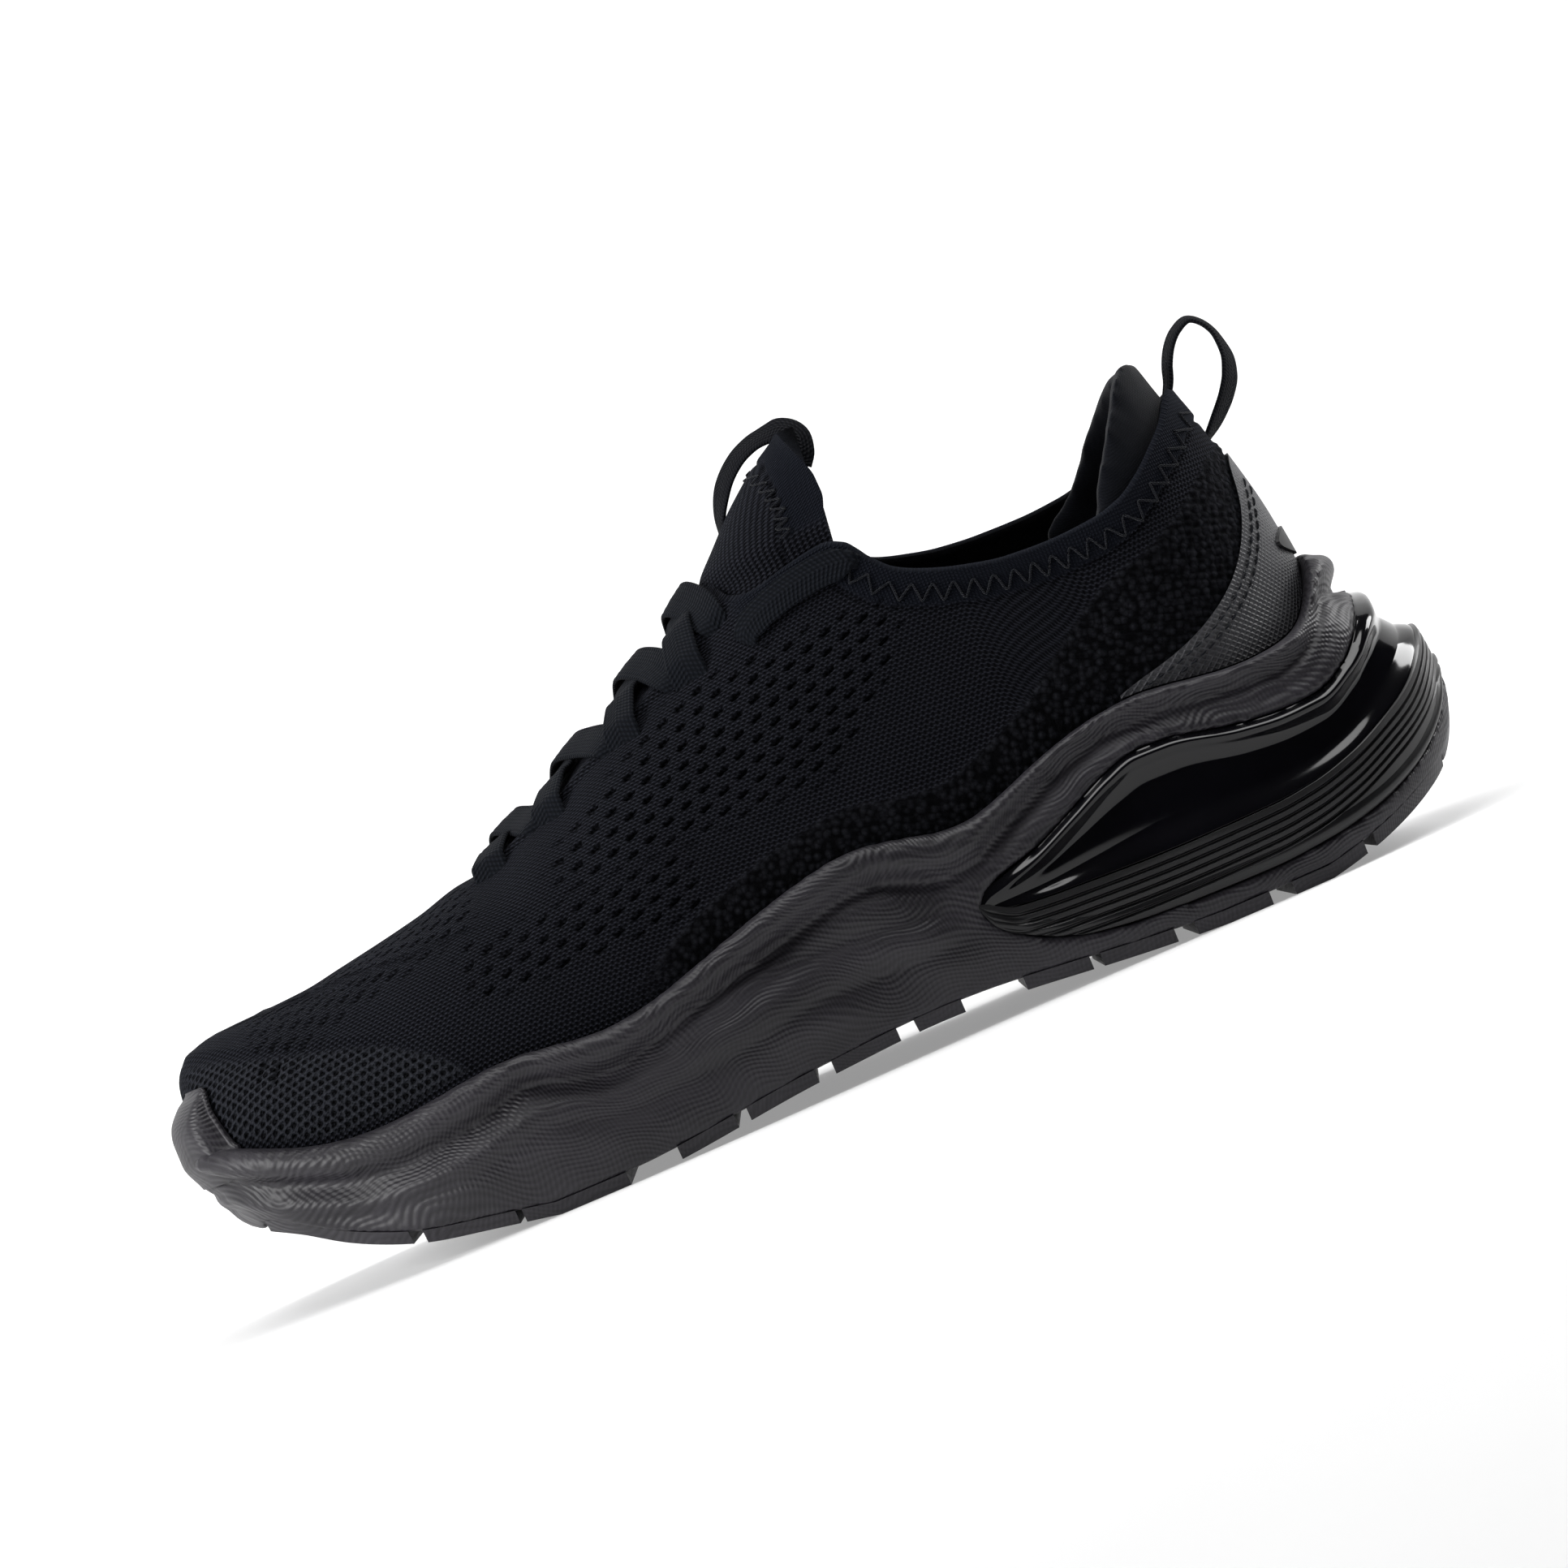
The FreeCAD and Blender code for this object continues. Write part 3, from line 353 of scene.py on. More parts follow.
def resample(path, step):
    """A smooth path through points, resampled at an even step."""
    path = np.asarray(path, float)
    run = lengths(path, 0)
    at = np.linspace(0, run[-1], max(int(run[-1] / step), 2) + 1)
    return np.stack([smooth(list(zip(run, path[:, k])), at) for k in range(path.shape[1])], -1)


def bake(obj):
    """Turns an object's modifiers into its mesh."""
    bpy.context.view_layer.update()
    final = bpy.data.meshes.new_from_object(obj.evaluated_get(bpy.context.evaluated_depsgraph_get()))
    obj.modifiers.clear()
    obj.data = final
    final.shade_smooth()
    return obj


def settle(obj, steps):
    """Evens out small lumps."""
    even = obj.modifiers.new("even", "SMOOTH")
    even.factor, even.iterations = 0.5, steps
    return bake(obj)


def refine(obj, levels):
    """Rounds a coarse mesh by subdividing it."""
    finer = obj.modifiers.new("finer", "SUBSURF")
    finer.levels = finer.render_levels = levels


def node_copy(node, name, voxel):
    """A remeshed copy of a CAD node, with its edges softened by the voxels."""
    obj = linked(name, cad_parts[node].data.copy())
    remesh = obj.modifiers.new("voxels", "REMESH")
    remesh.mode, remesh.voxel_size = "VOXEL", voxel * MM
    return settle(obj, 3)


def vertex_arrays(obj):
    """Points in millimetres and their normals."""
    count = len(obj.data.vertices)
    points, normals = np.empty(count * 3), np.empty(count * 3, np.float32)
    obj.data.vertices.foreach_get("co", points)
    obj.data.vertex_normals.foreach_get("vector", normals)
    return points.reshape(-1, 3) / MM, normals.reshape(-1, 3).astype(float)


def set_points(obj, points):
    """Moves the vertices to points in millimetres."""
    obj.data.vertices.foreach_set("co", (points * MM).ravel())
    obj.data.update()


FLEX = ("shoe", "forefoot", (-0.02, 0, 0.03), (-0.095, 0, 0.03))


def finish_piece(obj, body, material, slot, *replaces):
    """Rides a piece on its body, or leaves it unparented in place where two bodies are given, and gives it
    its material; the slot is not used.
    """
    obj.data.materials.clear()
    obj.data.materials.append(material)
    if replaces:
        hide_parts(*replaces)
    if isinstance(body, str):
        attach(obj, body)
    else:
        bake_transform(obj)


# ---- materials
class Wire:
    """One output of a shader node; arithmetic on it adds math nodes."""

    def __init__(self, nodes, socket):
        self.nodes, self.socket = nodes, socket

    def __add__(self, other):
        return self.nodes.math("ADD", self, other)

    def __sub__(self, other):
        return self.nodes.math("SUBTRACT", self, other)

    def __mul__(self, other):
        return self.nodes.math("MULTIPLY", self, other)

    def __truediv__(self, other):
        return self.nodes.math("DIVIDE", self, other)

    def spread(self, low, high):
        """Maps 0..1 to low..high."""
        return self * (high - low) + low

    def clamp(self, low, high):
        return self.nodes.math("MINIMUM", self.nodes.math("MAXIMUM", self, low), high)

    def waves(self, pitch):
        """0..1 cosine along a coordinate in millimetres."""
        return self.nodes.math("COSINE", self * (2 * math.pi / pitch)) * 0.5 + 0.5

    def parts(self):
        """The three components of a vector."""
        return [self.nodes.add("SeparateXYZ", {0: self}, k) for k in range(3)]


class Nodes:
    """Shorthand for building the nodes of a material or a world."""

    def __init__(self, name, kind="materials", shader="Principled BSDF"):
        self.made = getattr(bpy.data, kind).new(name)
        self.made.use_nodes = True
        self.tree = self.made.node_tree
        self.shader = self.tree.nodes[shader]

    def plug(self, value, socket):
        """Links a wire to a socket, or sets the socket to a constant."""
        if isinstance(value, Wire):
            self.tree.links.new(value.socket, socket)
        else:
            socket.default_value = value

    def add(self, kind, inputs, output=0, **settings):
        """Adds a node and returns one of its outputs."""
        node = self.tree.nodes.new("ShaderNode" + kind)
        for key, value in settings.items():
            setattr(node, key, value)
        for key, value in inputs.items():
            self.plug(value, node.inputs[key])
        return Wire(self, node.outputs[output])

    def math(self, operation, a, b=0.0, c=0.0):
        return self.add("Math", {0: a, 1: b, 2: c}, operation=operation)

    def stretch(self, vector, factors):
        return self.add("VectorMath", {0: vector, 1: factors}, operation="MULTIPLY")

    def place(self):
        """Position on the piece at rest, in millimetres."""
        return self.stretch(self.add("TexCoord", {}, "Object"), (1000.0,) * 3)

    def read(self, name, output="Fac"):
        """A mesh attribute."""
        return self.add("Attribute", {}, output, attribute_name=name)

    def noise(self, where, scale, detail=3.0, roughness=0.6):
        inputs = {"Vector": where, "Scale": scale, "Detail": detail, "Roughness": roughness}
        return self.add("TexNoise", inputs, "Fac")

    def blend(self, share, a, b):
        """Mixes two colours, each a wire or red, green and blue."""
        a, b = [(*tone, 1) if isinstance(tone, tuple) else tone for tone in (a, b)]
        return self.add("Mix", {0: share, 6: a, 7: b}, 2, data_type="RGBA")

    def shade(self, **values):
        """Fills the shader's sockets; an underscore stands for a space."""
        for key, value in values.items():
            self.plug(value, self.shader.inputs[key.replace("_", " ")])

    def bump(self, height, strength, distance):
        self.shade(Normal=self.add("Bump", {"Height": height, "Strength": strength, "Distance": distance}))

    def skin(self, tone, dark, light, rough, **fixed):
        """The finished material: dark to light by tone, its roughness and the shader's constants."""
        self.shade(Base_Color=self.blend(tone, dark, light), Roughness=rough, **fixed)
        return self.made


def cloth_material(name, dark, light, pitch=0.9, sheen=0.02, relief=0.6):
    """Plain brushed cloth on pieces that are seen only inside or at the edges."""
    n = Nodes(name)
    place = n.place()
    x, y, z = place.parts()
    weave = (x + z).waves(pitch) * (z - y).waves(pitch)
    fuzz = n.noise(place, 2.5, 4.0, 0.7)
    n.bump(weave + fuzz, relief, 0.0005)
    return n.skin(weave * 0.6 + fuzz * 0.4, dark, light, fuzz.spread(0.82, 0.95),
                  Sheen_Weight=sheen, Sheen_Roughness=0.4, Specular_IOR_Level=0.04)


def webbing_material(name, dark, light, loops=0.8):
    """Woven tape: slanted picks over length-wise ribs."""
    n = Nodes(name)
    run, across, _ = n.read("weave", "Vector").parts()
    pick = (run + n.math("ABSOLUTE", across) * 0.5).waves(loops)
    yarn = (pick * 0.7 + 0.3) * (across.waves(0.95) * 0.5 + 0.5)
    fuzz = n.noise(n.place(), 3.0, 3.0, 0.7)
    n.bump(yarn + fuzz * 0.3, 0.8, 0.0005)
    return n.skin(yarn * 0.75 + fuzz * 0.25, dark, light, fuzz.spread(0.7, 0.88),
                  Sheen_Weight=0.015, Sheen_Roughness=0.4, Specular_IOR_Level=0.05)


def foam_material(name, dark, light):
    """Moulded foam skin: fine contour lines that drift along the sole, crossed by finer upright hatching,
    with painted shade in their valleys and in long bands along the sole.
    """
    n = Nodes(name)
    place = n.place()
    x, y, z = place.parts()
    drift = n.noise(place, 0.03, 1.0, 0.4)
    ripple = n.math("SINE", x * 0.42 + z * 0.2) * 0.8
    line = (drift * 30.0 + ripple + x * 0.12 + z).waves(1.25)
    hatch = (drift * 12.0 + x + y * 0.8).waves(1.0)
    grain = n.noise(place, 2.2, 4.0, 0.65)
    scuff = n.noise(place, 0.07, 4.0, 0.6)
    # painted shade: long light and dark bands stretched along the sole, and a darker colour in the valleys of
    # the contour lines and the hatching
    band = n.noise(n.stretch(place, (0.22, 0.6, 1.0)), 0.14, 2.0, 0.5) * 2.4 - 0.75
    relief = line * 0.75 + hatch * 0.35
    tone = relief * 0.42 + band * 0.45 + scuff * 0.3 + grain * 0.12
    n.bump(relief + grain * 0.1, 0.42, 0.0003)
    return n.skin(tone, dark, light, scuff.spread(0.36, 0.58), Specular_IOR_Level=0.32)


def gloss_material(name, dark, light, rough, specular, coat):
    """Moulded plastic with faint smears; rough is its lowest and highest roughness."""
    n = Nodes(name)
    place = n.place()
    smear = n.noise(place, 0.05, 3.0, 0.5)
    scratch = n.noise(place, 0.4, 3.0, 0.6)
    n.bump(smear, 0.1, 0.0006)
    return n.skin(smear * 0.8, dark, light, (scratch * 0.3 + smear * 0.7).spread(*rough),
                  Specular_IOR_Level=specular, Coat_Weight=coat, Coat_Roughness=0.04, IOR=1.5)


def grid_material(name, dark, light, pitch=1.5):
    """Thin moulded skin embossed with a fine grid."""
    n = Nodes(name)
    place = n.place()
    x, y, z = place.parts()
    slant = y * 0.9 + x * 0.6
    lines = [n.math("POWER", way.waves(pitch), 3.0) for way in (slant + z, slant - z)]
    emboss = n.math("MAXIMUM", *lines)
    grain = n.noise(place, 1.5, 4.0)
    n.bump(emboss + grain * 0.2, 0.6, 0.0004)
    return n.skin(emboss * 0.55 + grain * 0.4, dark, light, grain.spread(0.45, 0.65))


PILLOW = cloth_material("pillow_cloth", (0.0022, 0.0025, 0.0036), (0.008, 0.0092, 0.0132), 0.5, 0.12, 0.25)
LINING = cloth_material("lining", (0.0012, 0.0012, 0.0017), (0.0045, 0.0047, 0.006))
BOARD = cloth_material("board_felt", (0.012, 0.012, 0.012), (0.04, 0.04, 0.04), 1.4)
STIFF = cloth_material("stiffener", (0.015, 0.015, 0.015), (0.05, 0.05, 0.05), 2.0, 0.0)
TAPE = webbing_material("tape", (0.0008, 0.0009, 0.0013), (0.011, 0.0118, 0.0155))
LACE = webbing_material("lace_weave", (0.0008, 0.0011, 0.0017), (0.0098, 0.0116, 0.0162), 1.1)
THREAD = cloth_material("thread", (0.005, 0.0055, 0.0075), (0.022, 0.024, 0.03), 0.4, 0.1)
FOAM, TREAD = [foam_material(name, (0.0036, 0.0033, 0.0045), (0.0235, 0.0215, 0.0268))
               for name in ("foam", "tread_skin")]
GLOSS = gloss_material("air_gloss", (0.0006, 0.0006, 0.001), (0.0035, 0.0033, 0.005), (0.05, 0.16), 0.3, 0.1)
CRADLE = gloss_material("cradle_satin", (0.0015, 0.0015, 0.0018), (0.006, 0.006, 0.0072), (0.3, 0.45),
                        0.3, 0.1)
OVERLAY = grid_material("overlay_grid", (0.01, 0.01, 0.0122), (0.045, 0.045, 0.053))
BADGE = gloss_material("badge_satin", (0.003, 0.003, 0.004), (0.012, 0.012, 0.014), (0.45, 0.6), 0.3, 0.0)


# ---- knitted upper
KNIT_ROW, KNIT_LOOP, VENT_PITCH = 1.05, 1.25, 1.9
KNIT_WALL, COLLAR_BAND = 1.8, 8.2
SIDE_SLOTS, TOE_SLOTS = (5.2, 3.3, 2.9, 0.95), (5.4, 3.3, 3.4, 1.0)
VENT_LINE = [(-145, 61), (-137, 61), (-120, 57), (-105, 53), (-95, 50), (-85, 44), (-79, 38), (-77, 34)]
MARL_HEIGHT = [(-60, 0), (-20, 8), (30, 9), (60, 11), (75, 18), (90, 26), (105, 33), (118, 42)]


def upper_material():
    """The body's fine knit, with openwork at the toe, a marled foot band and the smoother, bluer rim."""
    n = Nodes("upper_knit")
    u, v, _ = n.read("weave", "Vector").parts()
    place = n.place()
    rim, marl, slot, vent = [n.read(key) for key in ("rim", "marl", "open", "vent")]
    across = n.noise(place, 0.3, 2.0) * 0.5 + v
    count = n.math("FLOOR", across / KNIT_ROW)
    loop = (count * (0.5 * KNIT_LOOP) + u).waves(KNIT_LOOP)
    fuzz = n.noise(place, 3.0, 4.0, 0.7)
    cloud = n.noise(place, 0.05, 3.0)
    yarn = (across.waves(KNIT_ROW) * 0.8 + 0.2) * (loop * 0.85 + 0.15)
    fine = u.waves(0.8) * v.waves(0.8)
    cell = n.add("TexVoronoi", {"Vector": place, "Scale": 0.66}, "Distance")
    knob = n.math("MAXIMUM", cell * -1.5 + 1.0, 0.0)
    plain = yarn * (fuzz * 1.1 + yarn * 0.75) * (cloud + 0.75)
    body = n.blend(plain, (0.0004, 0.0004, 0.0008), (0.0188, 0.0198, 0.0268))
    marled = n.blend(knob * fuzz * 1.6, (0.0006, 0.0006, 0.0009), (0.0185, 0.0192, 0.024))
    edge = n.blend(fine * 0.6 + 0.2, (0.0022, 0.0027, 0.0045), (0.0105, 0.012, 0.0175))
    body = n.blend(rim, n.blend(marl, body, marled), edge)
    # openwork: staggered round holes between the yarns, painted near black as the shade seen through them
    line = v / VENT_PITCH
    off_u = n.math("FRACT", u / VENT_PITCH + n.math("FLOOR", line) * 0.5) - 0.5
    off_v = n.math("FRACT", line) - 0.5
    far = n.math("SQRT", off_u * off_u + off_v * off_v)
    hole = (n.math("SMOOTH_MIN", far * 2.35, 1.0, 0.2) * -2.4 + 2.4).clamp(0.0, 1.0) * vent
    body = n.blend(vent * 0.7, body, (0.026, 0.0275, 0.0335))
    # painted shade: the holes, the knitted slots and the inner face of the knit are darkened to near black,
    # as the shade inside the shoe
    dark = (hole * 0.96 + n.read("inside") * 0.93 + slot * 0.85).clamp(0.0, 1.0)
    height = n.add("Mix", {0: marl, 2: fuzz * 0.35 + yarn, 3: knob * 1.5 + fuzz * 0.8})
    height = n.add("Mix", {0: rim, 2: height, 3: fine * 0.5})
    n.bump(height - hole * 1.6, 0.9, 0.0008)
    n.shade(Sheen_Weight=0.03, Sheen_Roughness=0.45, Sheen_Tint=(0.75, 0.82, 1.0, 1), Specular_IOR_Level=0.03)
    return n.skin(dark, body, (0.0005, 0.0005, 0.0007), fuzz.spread(0.78, 0.94))


UPPER = upper_material()


def collar_line(x, theta):
    """Height of the collar's edge on the side that theta is on."""
    return by_side(side_at(theta), x, COLLAR_OUTER, COLLAR_INNER)


def upper_limit(theta, count=700):
    """First and last ring of each column between the foot line and the collar."""
    s = np.linspace(2.0, len(FAN_BACK) - 1.0, count)[:, None]
    points = last_points(s, theta)
    below = points[..., 2] - smooth(RIM, points[..., 0]) + 3.5
    above = collar_line(points[..., 0], theta) - points[..., 2]
    first = np.argmax(below > 0, 0)
    inside = (above > 0) | (np.arange(count)[:, None] < first)
    last = np.where(inside.all(0), count - 1, np.argmin(inside, 0) - 1)
    column = np.arange(len(theta))

    def edge(values, low):
        high = np.minimum(low + 1, count - 1)
        a, b = values[low, column], values[high, column]
        share = np.clip(a / np.where(a == b, 1, a - b), 0, 1)
        return s[low, 0] + share * (s[high, 0] - s[low, 0])

    return edge(below, np.maximum(first - 1, 0)), edge(above, last)


def slots(place, across, pitch, row, length, width):
    """1 inside short slots laid in staggered rows, with soft ends."""
    line = np.round(across / row)
    off = across - line * row
    along = (place + np.where(line % 2 > 0, pitch / 2, 0)) % pitch - pitch / 2
    far = np.sqrt(np.maximum(np.abs(along) - (length - width) / 2, 0) ** 2 + off ** 2)
    return 1 - ease((far - width * 0.3) / (width * 0.35))


def between(value, low, high, soft=3.0):
    """1 between two bounds, with soft steps of the given width."""
    return ease((value - low) / soft + 0.5) * ease((high - value) / soft + 0.5)


def knit_openings(x, y, z, crown, normal):
    """The slots knitted into the side and the toe, 1 where the knit is open."""
    wall = np.abs(normal[..., 1])
    side = slots(x * 0.94 + z * 0.342, z * 0.94 - x * 0.342, *SIDE_SLOTS)
    group = between(x, -46, 43, 10) * between(z - smooth(CREST, x), -60, -10.5, 4) * between(z, 62, 93, 6)
    low_group = between(x, -72, -18, 6) * between(z, 47, 60, 3) * ease((wall - 0.5) / 0.2)
    toe = slots(x * 0.97 + y * 0.24, y * 0.97 - x * 0.24, *TOE_SLOTS)
    toe_group = between(x, -122, -66, 6) * between(crown, 6, 37, 5)
    return np.maximum(side * np.maximum(group * ease((wall - 0.3) / 0.2), low_group), toe * toe_group)


def build_upper():
    """The knit from the foot line to the collar, over the last."""
    columns, rows = ((1100, 300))
    theta = np.linspace(0, 2 * np.pi, columns, endpoint=False)
    first, last = upper_limit(theta)

    def rings(count, inset):
        return last_points(first + (last - first) * np.linspace(0, 1, count)[:, None], theta, inset)

    outer = rings(rows, 0.0)
    x, y, z = np.moveaxis(outer, -1, 0)
    across = y - smooth(LAST_MIDDLE, x)
    crown = np.abs(across)
    normal = grid_normals(outer, wrap_columns=True)
    normal = normal * np.sign((normal[..., 1] * across + normal[..., 2] * (z - 45)).mean())
    upward = ease((normal[..., 2] - 0.2) / 0.2)
    rise = lengths(outer, 0)
    top = rise[-1:] - rise
    # the fabric's own coordinates: along the shoe and round its heel, and up the wall and over the top
    fabric_u = x + 0.8 * (36 - crown) * ease((x - HEEL_BEND) / 25)
    fabric_v = z - 0.8 * crown * (1 - ease((x - 55) / 30))

    throat = ease((20 - crown) / 3) * between(x, -66, 12, 6) * upward
    holes = knit_openings(x, y, z, crown, normal) * (1 - throat)
    vent_line = smooth(VENT_LINE, x)
    toe_part = between(x, -140, -77, 3)
    vent_zone = toe_part * ease((vent_line - 1.5 - z) / 2) * ease((z - smooth(RIM, x) - 1.0) / 1.5)
    marl = ease((smooth(RIM, x) + smooth(MARL_HEIGHT, x) - z) / 2.5 + 0.5) * ease((x + 45) / 20)
    collar_zone = ease((x - 9) / 6)
    rim_band = ease((COLLAR_BAND - top) / 1.2) * collar_zone

    lift = 0.15 * np.cos(2 * np.pi * fabric_v / VENT_PITCH) * vent_zone
    lift += (0.5 + 0.22 * np.sin(x * 2.1 + z * 1.3) * np.sin(z * 2.3 - x * 0.9)) * marl
    lift += 0.5 * ease(1 - np.abs(z - vent_line) / 1.6) * toe_part - 0.75 * holes
    lift += 0.35 * rim_band - 0.5 * np.exp(-((top - COLLAR_BAND) / 0.7) ** 2) * collar_zone
    # a quilted edge along the throat, and the flat throat under the laces
    lift += 0.9 * between(crown, 16.5, 20.5, 2.5) * between(x, -64, 10, 6) * upward - 0.35 * throat
    # long shallow folds where the toe bends
    lift += 0.35 * np.sin(x * 0.32 + y * 0.05) * between(x, -72, -34, 22) * ease((normal[..., 2] - 0.3) / 0.4)
    outer = outer + normal * lift[..., None]

    inner = rings(60, KNIT_WALL)
    lip = (outer[-1:] + inner[-1:]) / 2 + np.array([0, 0, 0.9])
    weave = np.stack([fabric_u, fabric_v, rise * 0], -1)
    looks = {"weave": weave, "marl": marl, "open": holes, "rim": rim_band, "vent": vent_zone}
    looks = {key: np.concatenate([values, values[-1:]], 0) for key, values in looks.items()}
    obj = shell("knit_shell", np.concatenate([outer, lip], 0), inner, looks, wrap=True)
    finish_piece(obj, FLEX, UPPER, "knit", "knit_upper")


build_upper()


# ---- tongue
TONGUE_BACK = [(90, 37), (110.6, 37.2), (114, 37.6), (119.5, 39.2), (123, 39.2), (128, 38), (131.5, 36.8),
               (137, 35.6)]
TONGUE_FOOT, TONGUE_TOP = 97.0, 136.3
TONGUE_FLEX = ("shoe", "tongue", (0.012, 0, 0.104), (0.012, 0, 0.119))


def build_tongue():
    """The tongue: a padded sheet on the last that wraps round its front."""
    rows, columns = ((150, 260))
    height = TONGUE_FOOT + (TONGUE_TOP - TONGUE_FOOT) * np.sin(np.linspace(0, np.pi / 2, rows))
    level = height[:, None] * np.ones((1, columns))
    turn = np.linspace(-1, 1, columns)[None, :] * np.ones((rows, 1))

    def sheet_at(inset):
        front = crossing(lambda x: crest(x, inset) - level, level * 0 - 30, level * 0 + 60)
        back = np.maximum(smooth(TONGUE_BACK, level), front + 0.3)
        x = front + (back - front) * (1 - np.cos(turn * np.pi / 2))
        side = np.sign(turn)
        return off_middle(x, side * last_half(x, level, side, inset), level)

    # the foot is tucked under the knit, and the rest lies free of it
    tuck = ease((114 - level) / 8)[..., None]
    outer = sheet_at(2.0) * tuck + sheet_at(0.0) * (1 - tuck)
    normal = grid_normals(outer)
    normal = normal * np.sign(-normal[rows // 2, columns // 2, 0])
    run, rise = lengths(outer, 1, columns // 2), lengths(outer, 0)
    edge = np.minimum(run.max(1, keepdims=True) - np.abs(run), rise.max(0, keepdims=True) - rise + 0.1)
    pad = 0.9 * ease(edge / 9) * ease((level - 108) / 8) - 0.55 * np.exp(-((edge - 8) / 0.8) ** 2)
    zero = np.zeros_like(run)
    looks = {"weave": np.stack([run, rise, zero], -1), "marl": zero, "open": zero, "vent": zero,
             "rim": ease((8 - edge) / 1.2) * ease((level - 112) / 3)}
    obj = shell("tongue_pad", outer + normal * pad[..., None], sheet_at(2.9), looks)
    rounder = obj.modifiers.new("edge_round", "BEVEL")
    rounder.width, rounder.segments, rounder.limit_method = 0.8 * MM, 3, "ANGLE"
    rounder.angle_limit = math.radians(50)
    finish_piece(obj, TONGUE_FLEX, UPPER, "knit", "tongue")


build_tongue()


# ---- foam midsole and toe wrap
GROOVE = [(-140, 27), (-125, 21), (-105, 15), (-85, 15.5), (-68, 18.5), (-50, 15), (-30, 16.5),
          (0, 20), (30, 19)]
GROOVE_GAP = [(-140, 3), (-100, 4.5), (-68, 5), (-30, 6.5), (0, 8.5), (30, 6)]


def build_midsole():
    """The foam with its rolled lip, the flow waves of the forefoot and the heel's ridge."""
    obj = node_copy("midsole", "foam_midsole", 0.95)
    points, normals = vertex_arrays(obj)
    x, z = points[:, 0], points[:, 2]

    def crease(level, width):
        return np.exp(-((z - level) / width) ** 2)

    fore, heel = ease((34 - x) / 12), ease((x - 36) / 10)
    centre = np.stack([np.clip(x, -95, 95), smooth(LAST_MIDDLE, x)], -1)
    outward = np.sum((points[:, :2] - centre) * normals[:, :2], 1) > 0
    inside_air = heel * (z > smooth(AIR_FLOOR, x) - 0.5) * (z < smooth(AIR_ROOF, x) + 0.5)
    skin = outward * (1 - inside_air)
    wall = ease((np.abs(normals[:, 2]) - 0.75) / -0.35) * skin
    lip, rim = smooth(LIP, x), smooth(RIM, x)
    roll = np.clip((z - lip) / np.maximum(rim - lip, 1), 0, 1)
    lift = 2.0 * np.sin(np.pi * roll) ** 0.7 * (z > lip) - 2.5 * crease(lip, 2.0)
    lift = lift - 1.1 * heel * crease(smooth(HEEL_RIDGE, x), 1.2)
    low = smooth(GROOVE, x)
    high = low + smooth(GROOVE_GAP, x)
    lift = lift + 0.9 * fore * (between(z, low, high, 2.0) - crease(low, 1.6) - crease(high, 1.6))
    # long flow waves that lean back as they run down from the lip
    flow = np.sin(0.13 * x + 0.16 * (z - lip) + 1.2 * np.sin(0.045 * x))
    lift = lift + fore * 0.85 * flow * between(z, low - 6, lip + 2, 8.0)
    # the lower edge reaches down over the joint with the tread pods
    edge = 0.5 * crease(smooth(GROUND, x) + 3.6, 0.9) * skin
    set_points(obj, points + normals * (lift * wall + edge)[:, None])
    settle(obj, 8)
    finish_piece(obj, FLEX, FOAM, "foam", "midsole")


build_midsole()

WRAP_FOOT, WRAP_TOP, WRAP_END = 33.0, 54.3, -137.5
WRAP_FRONT, WRAP_BACK, WRAP_DEPTH = -149.5, 140.0, 5.0


def build_bumper():
    """The toe wrap: a thick rounded skin over the nose, from the lip crease up in front of the knit."""
    rows, columns = ((80, 200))
    end = math.acos(1 - 2 * (WRAP_END - WRAP_FRONT) / (WRAP_BACK - WRAP_FRONT))
    theta = np.linspace(-end, end, columns)
    corner = ease((np.abs(theta) - end * 0.72) / (end * 0.28))
    share = np.linspace(0, 1, rows)[:, None]
    z = WRAP_FOOT + (WRAP_TOP - 14.5 * corner ** 1.3 - WRAP_FOOT) * share
    outer = sole_points(z, theta, 3.6 * ease((share - 0.5) / 0.5) ** 1.5)
    normal = grid_normals(outer)
    normal = normal * -np.sign(normal[rows // 2, columns // 2, 0])
    roll = 0.8 * ease(share / 0.3) - 0.4 - 1.0 * ease((share - 0.85) / 0.15)
    side_roll = ease((end - np.abs(theta)) / (end * 0.2))
    skin = outer + normal * (roll * side_roll - 0.4 * (1 - side_roll))[..., None]
    obj = shell("toe_wrap", skin, sole_points(z, theta, WRAP_DEPTH), {})
    finish_piece(obj, "forefoot", FOAM, "rubber", "toe_bumper")


build_bumper()


# ---- air unit and ribbed cradle
TIP_PLACE, TIP_LEVEL = 33.7, 24.0
WINDOW_INSET, WINDOW_DEPTH = 1.2, 4.5
BAND_INSET, BAND_DEPTH = 0.7, 4.0


def on_line(line, theta, inset):
    """Level at which the sole's wall meets a side-view line, for each angle."""
    low, high = np.full_like(theta, 2.0), np.full_like(theta, 66.0)
    return crossing(lambda z: z - smooth(line, sole_points(z, theta, inset)[..., 0]), low, high)


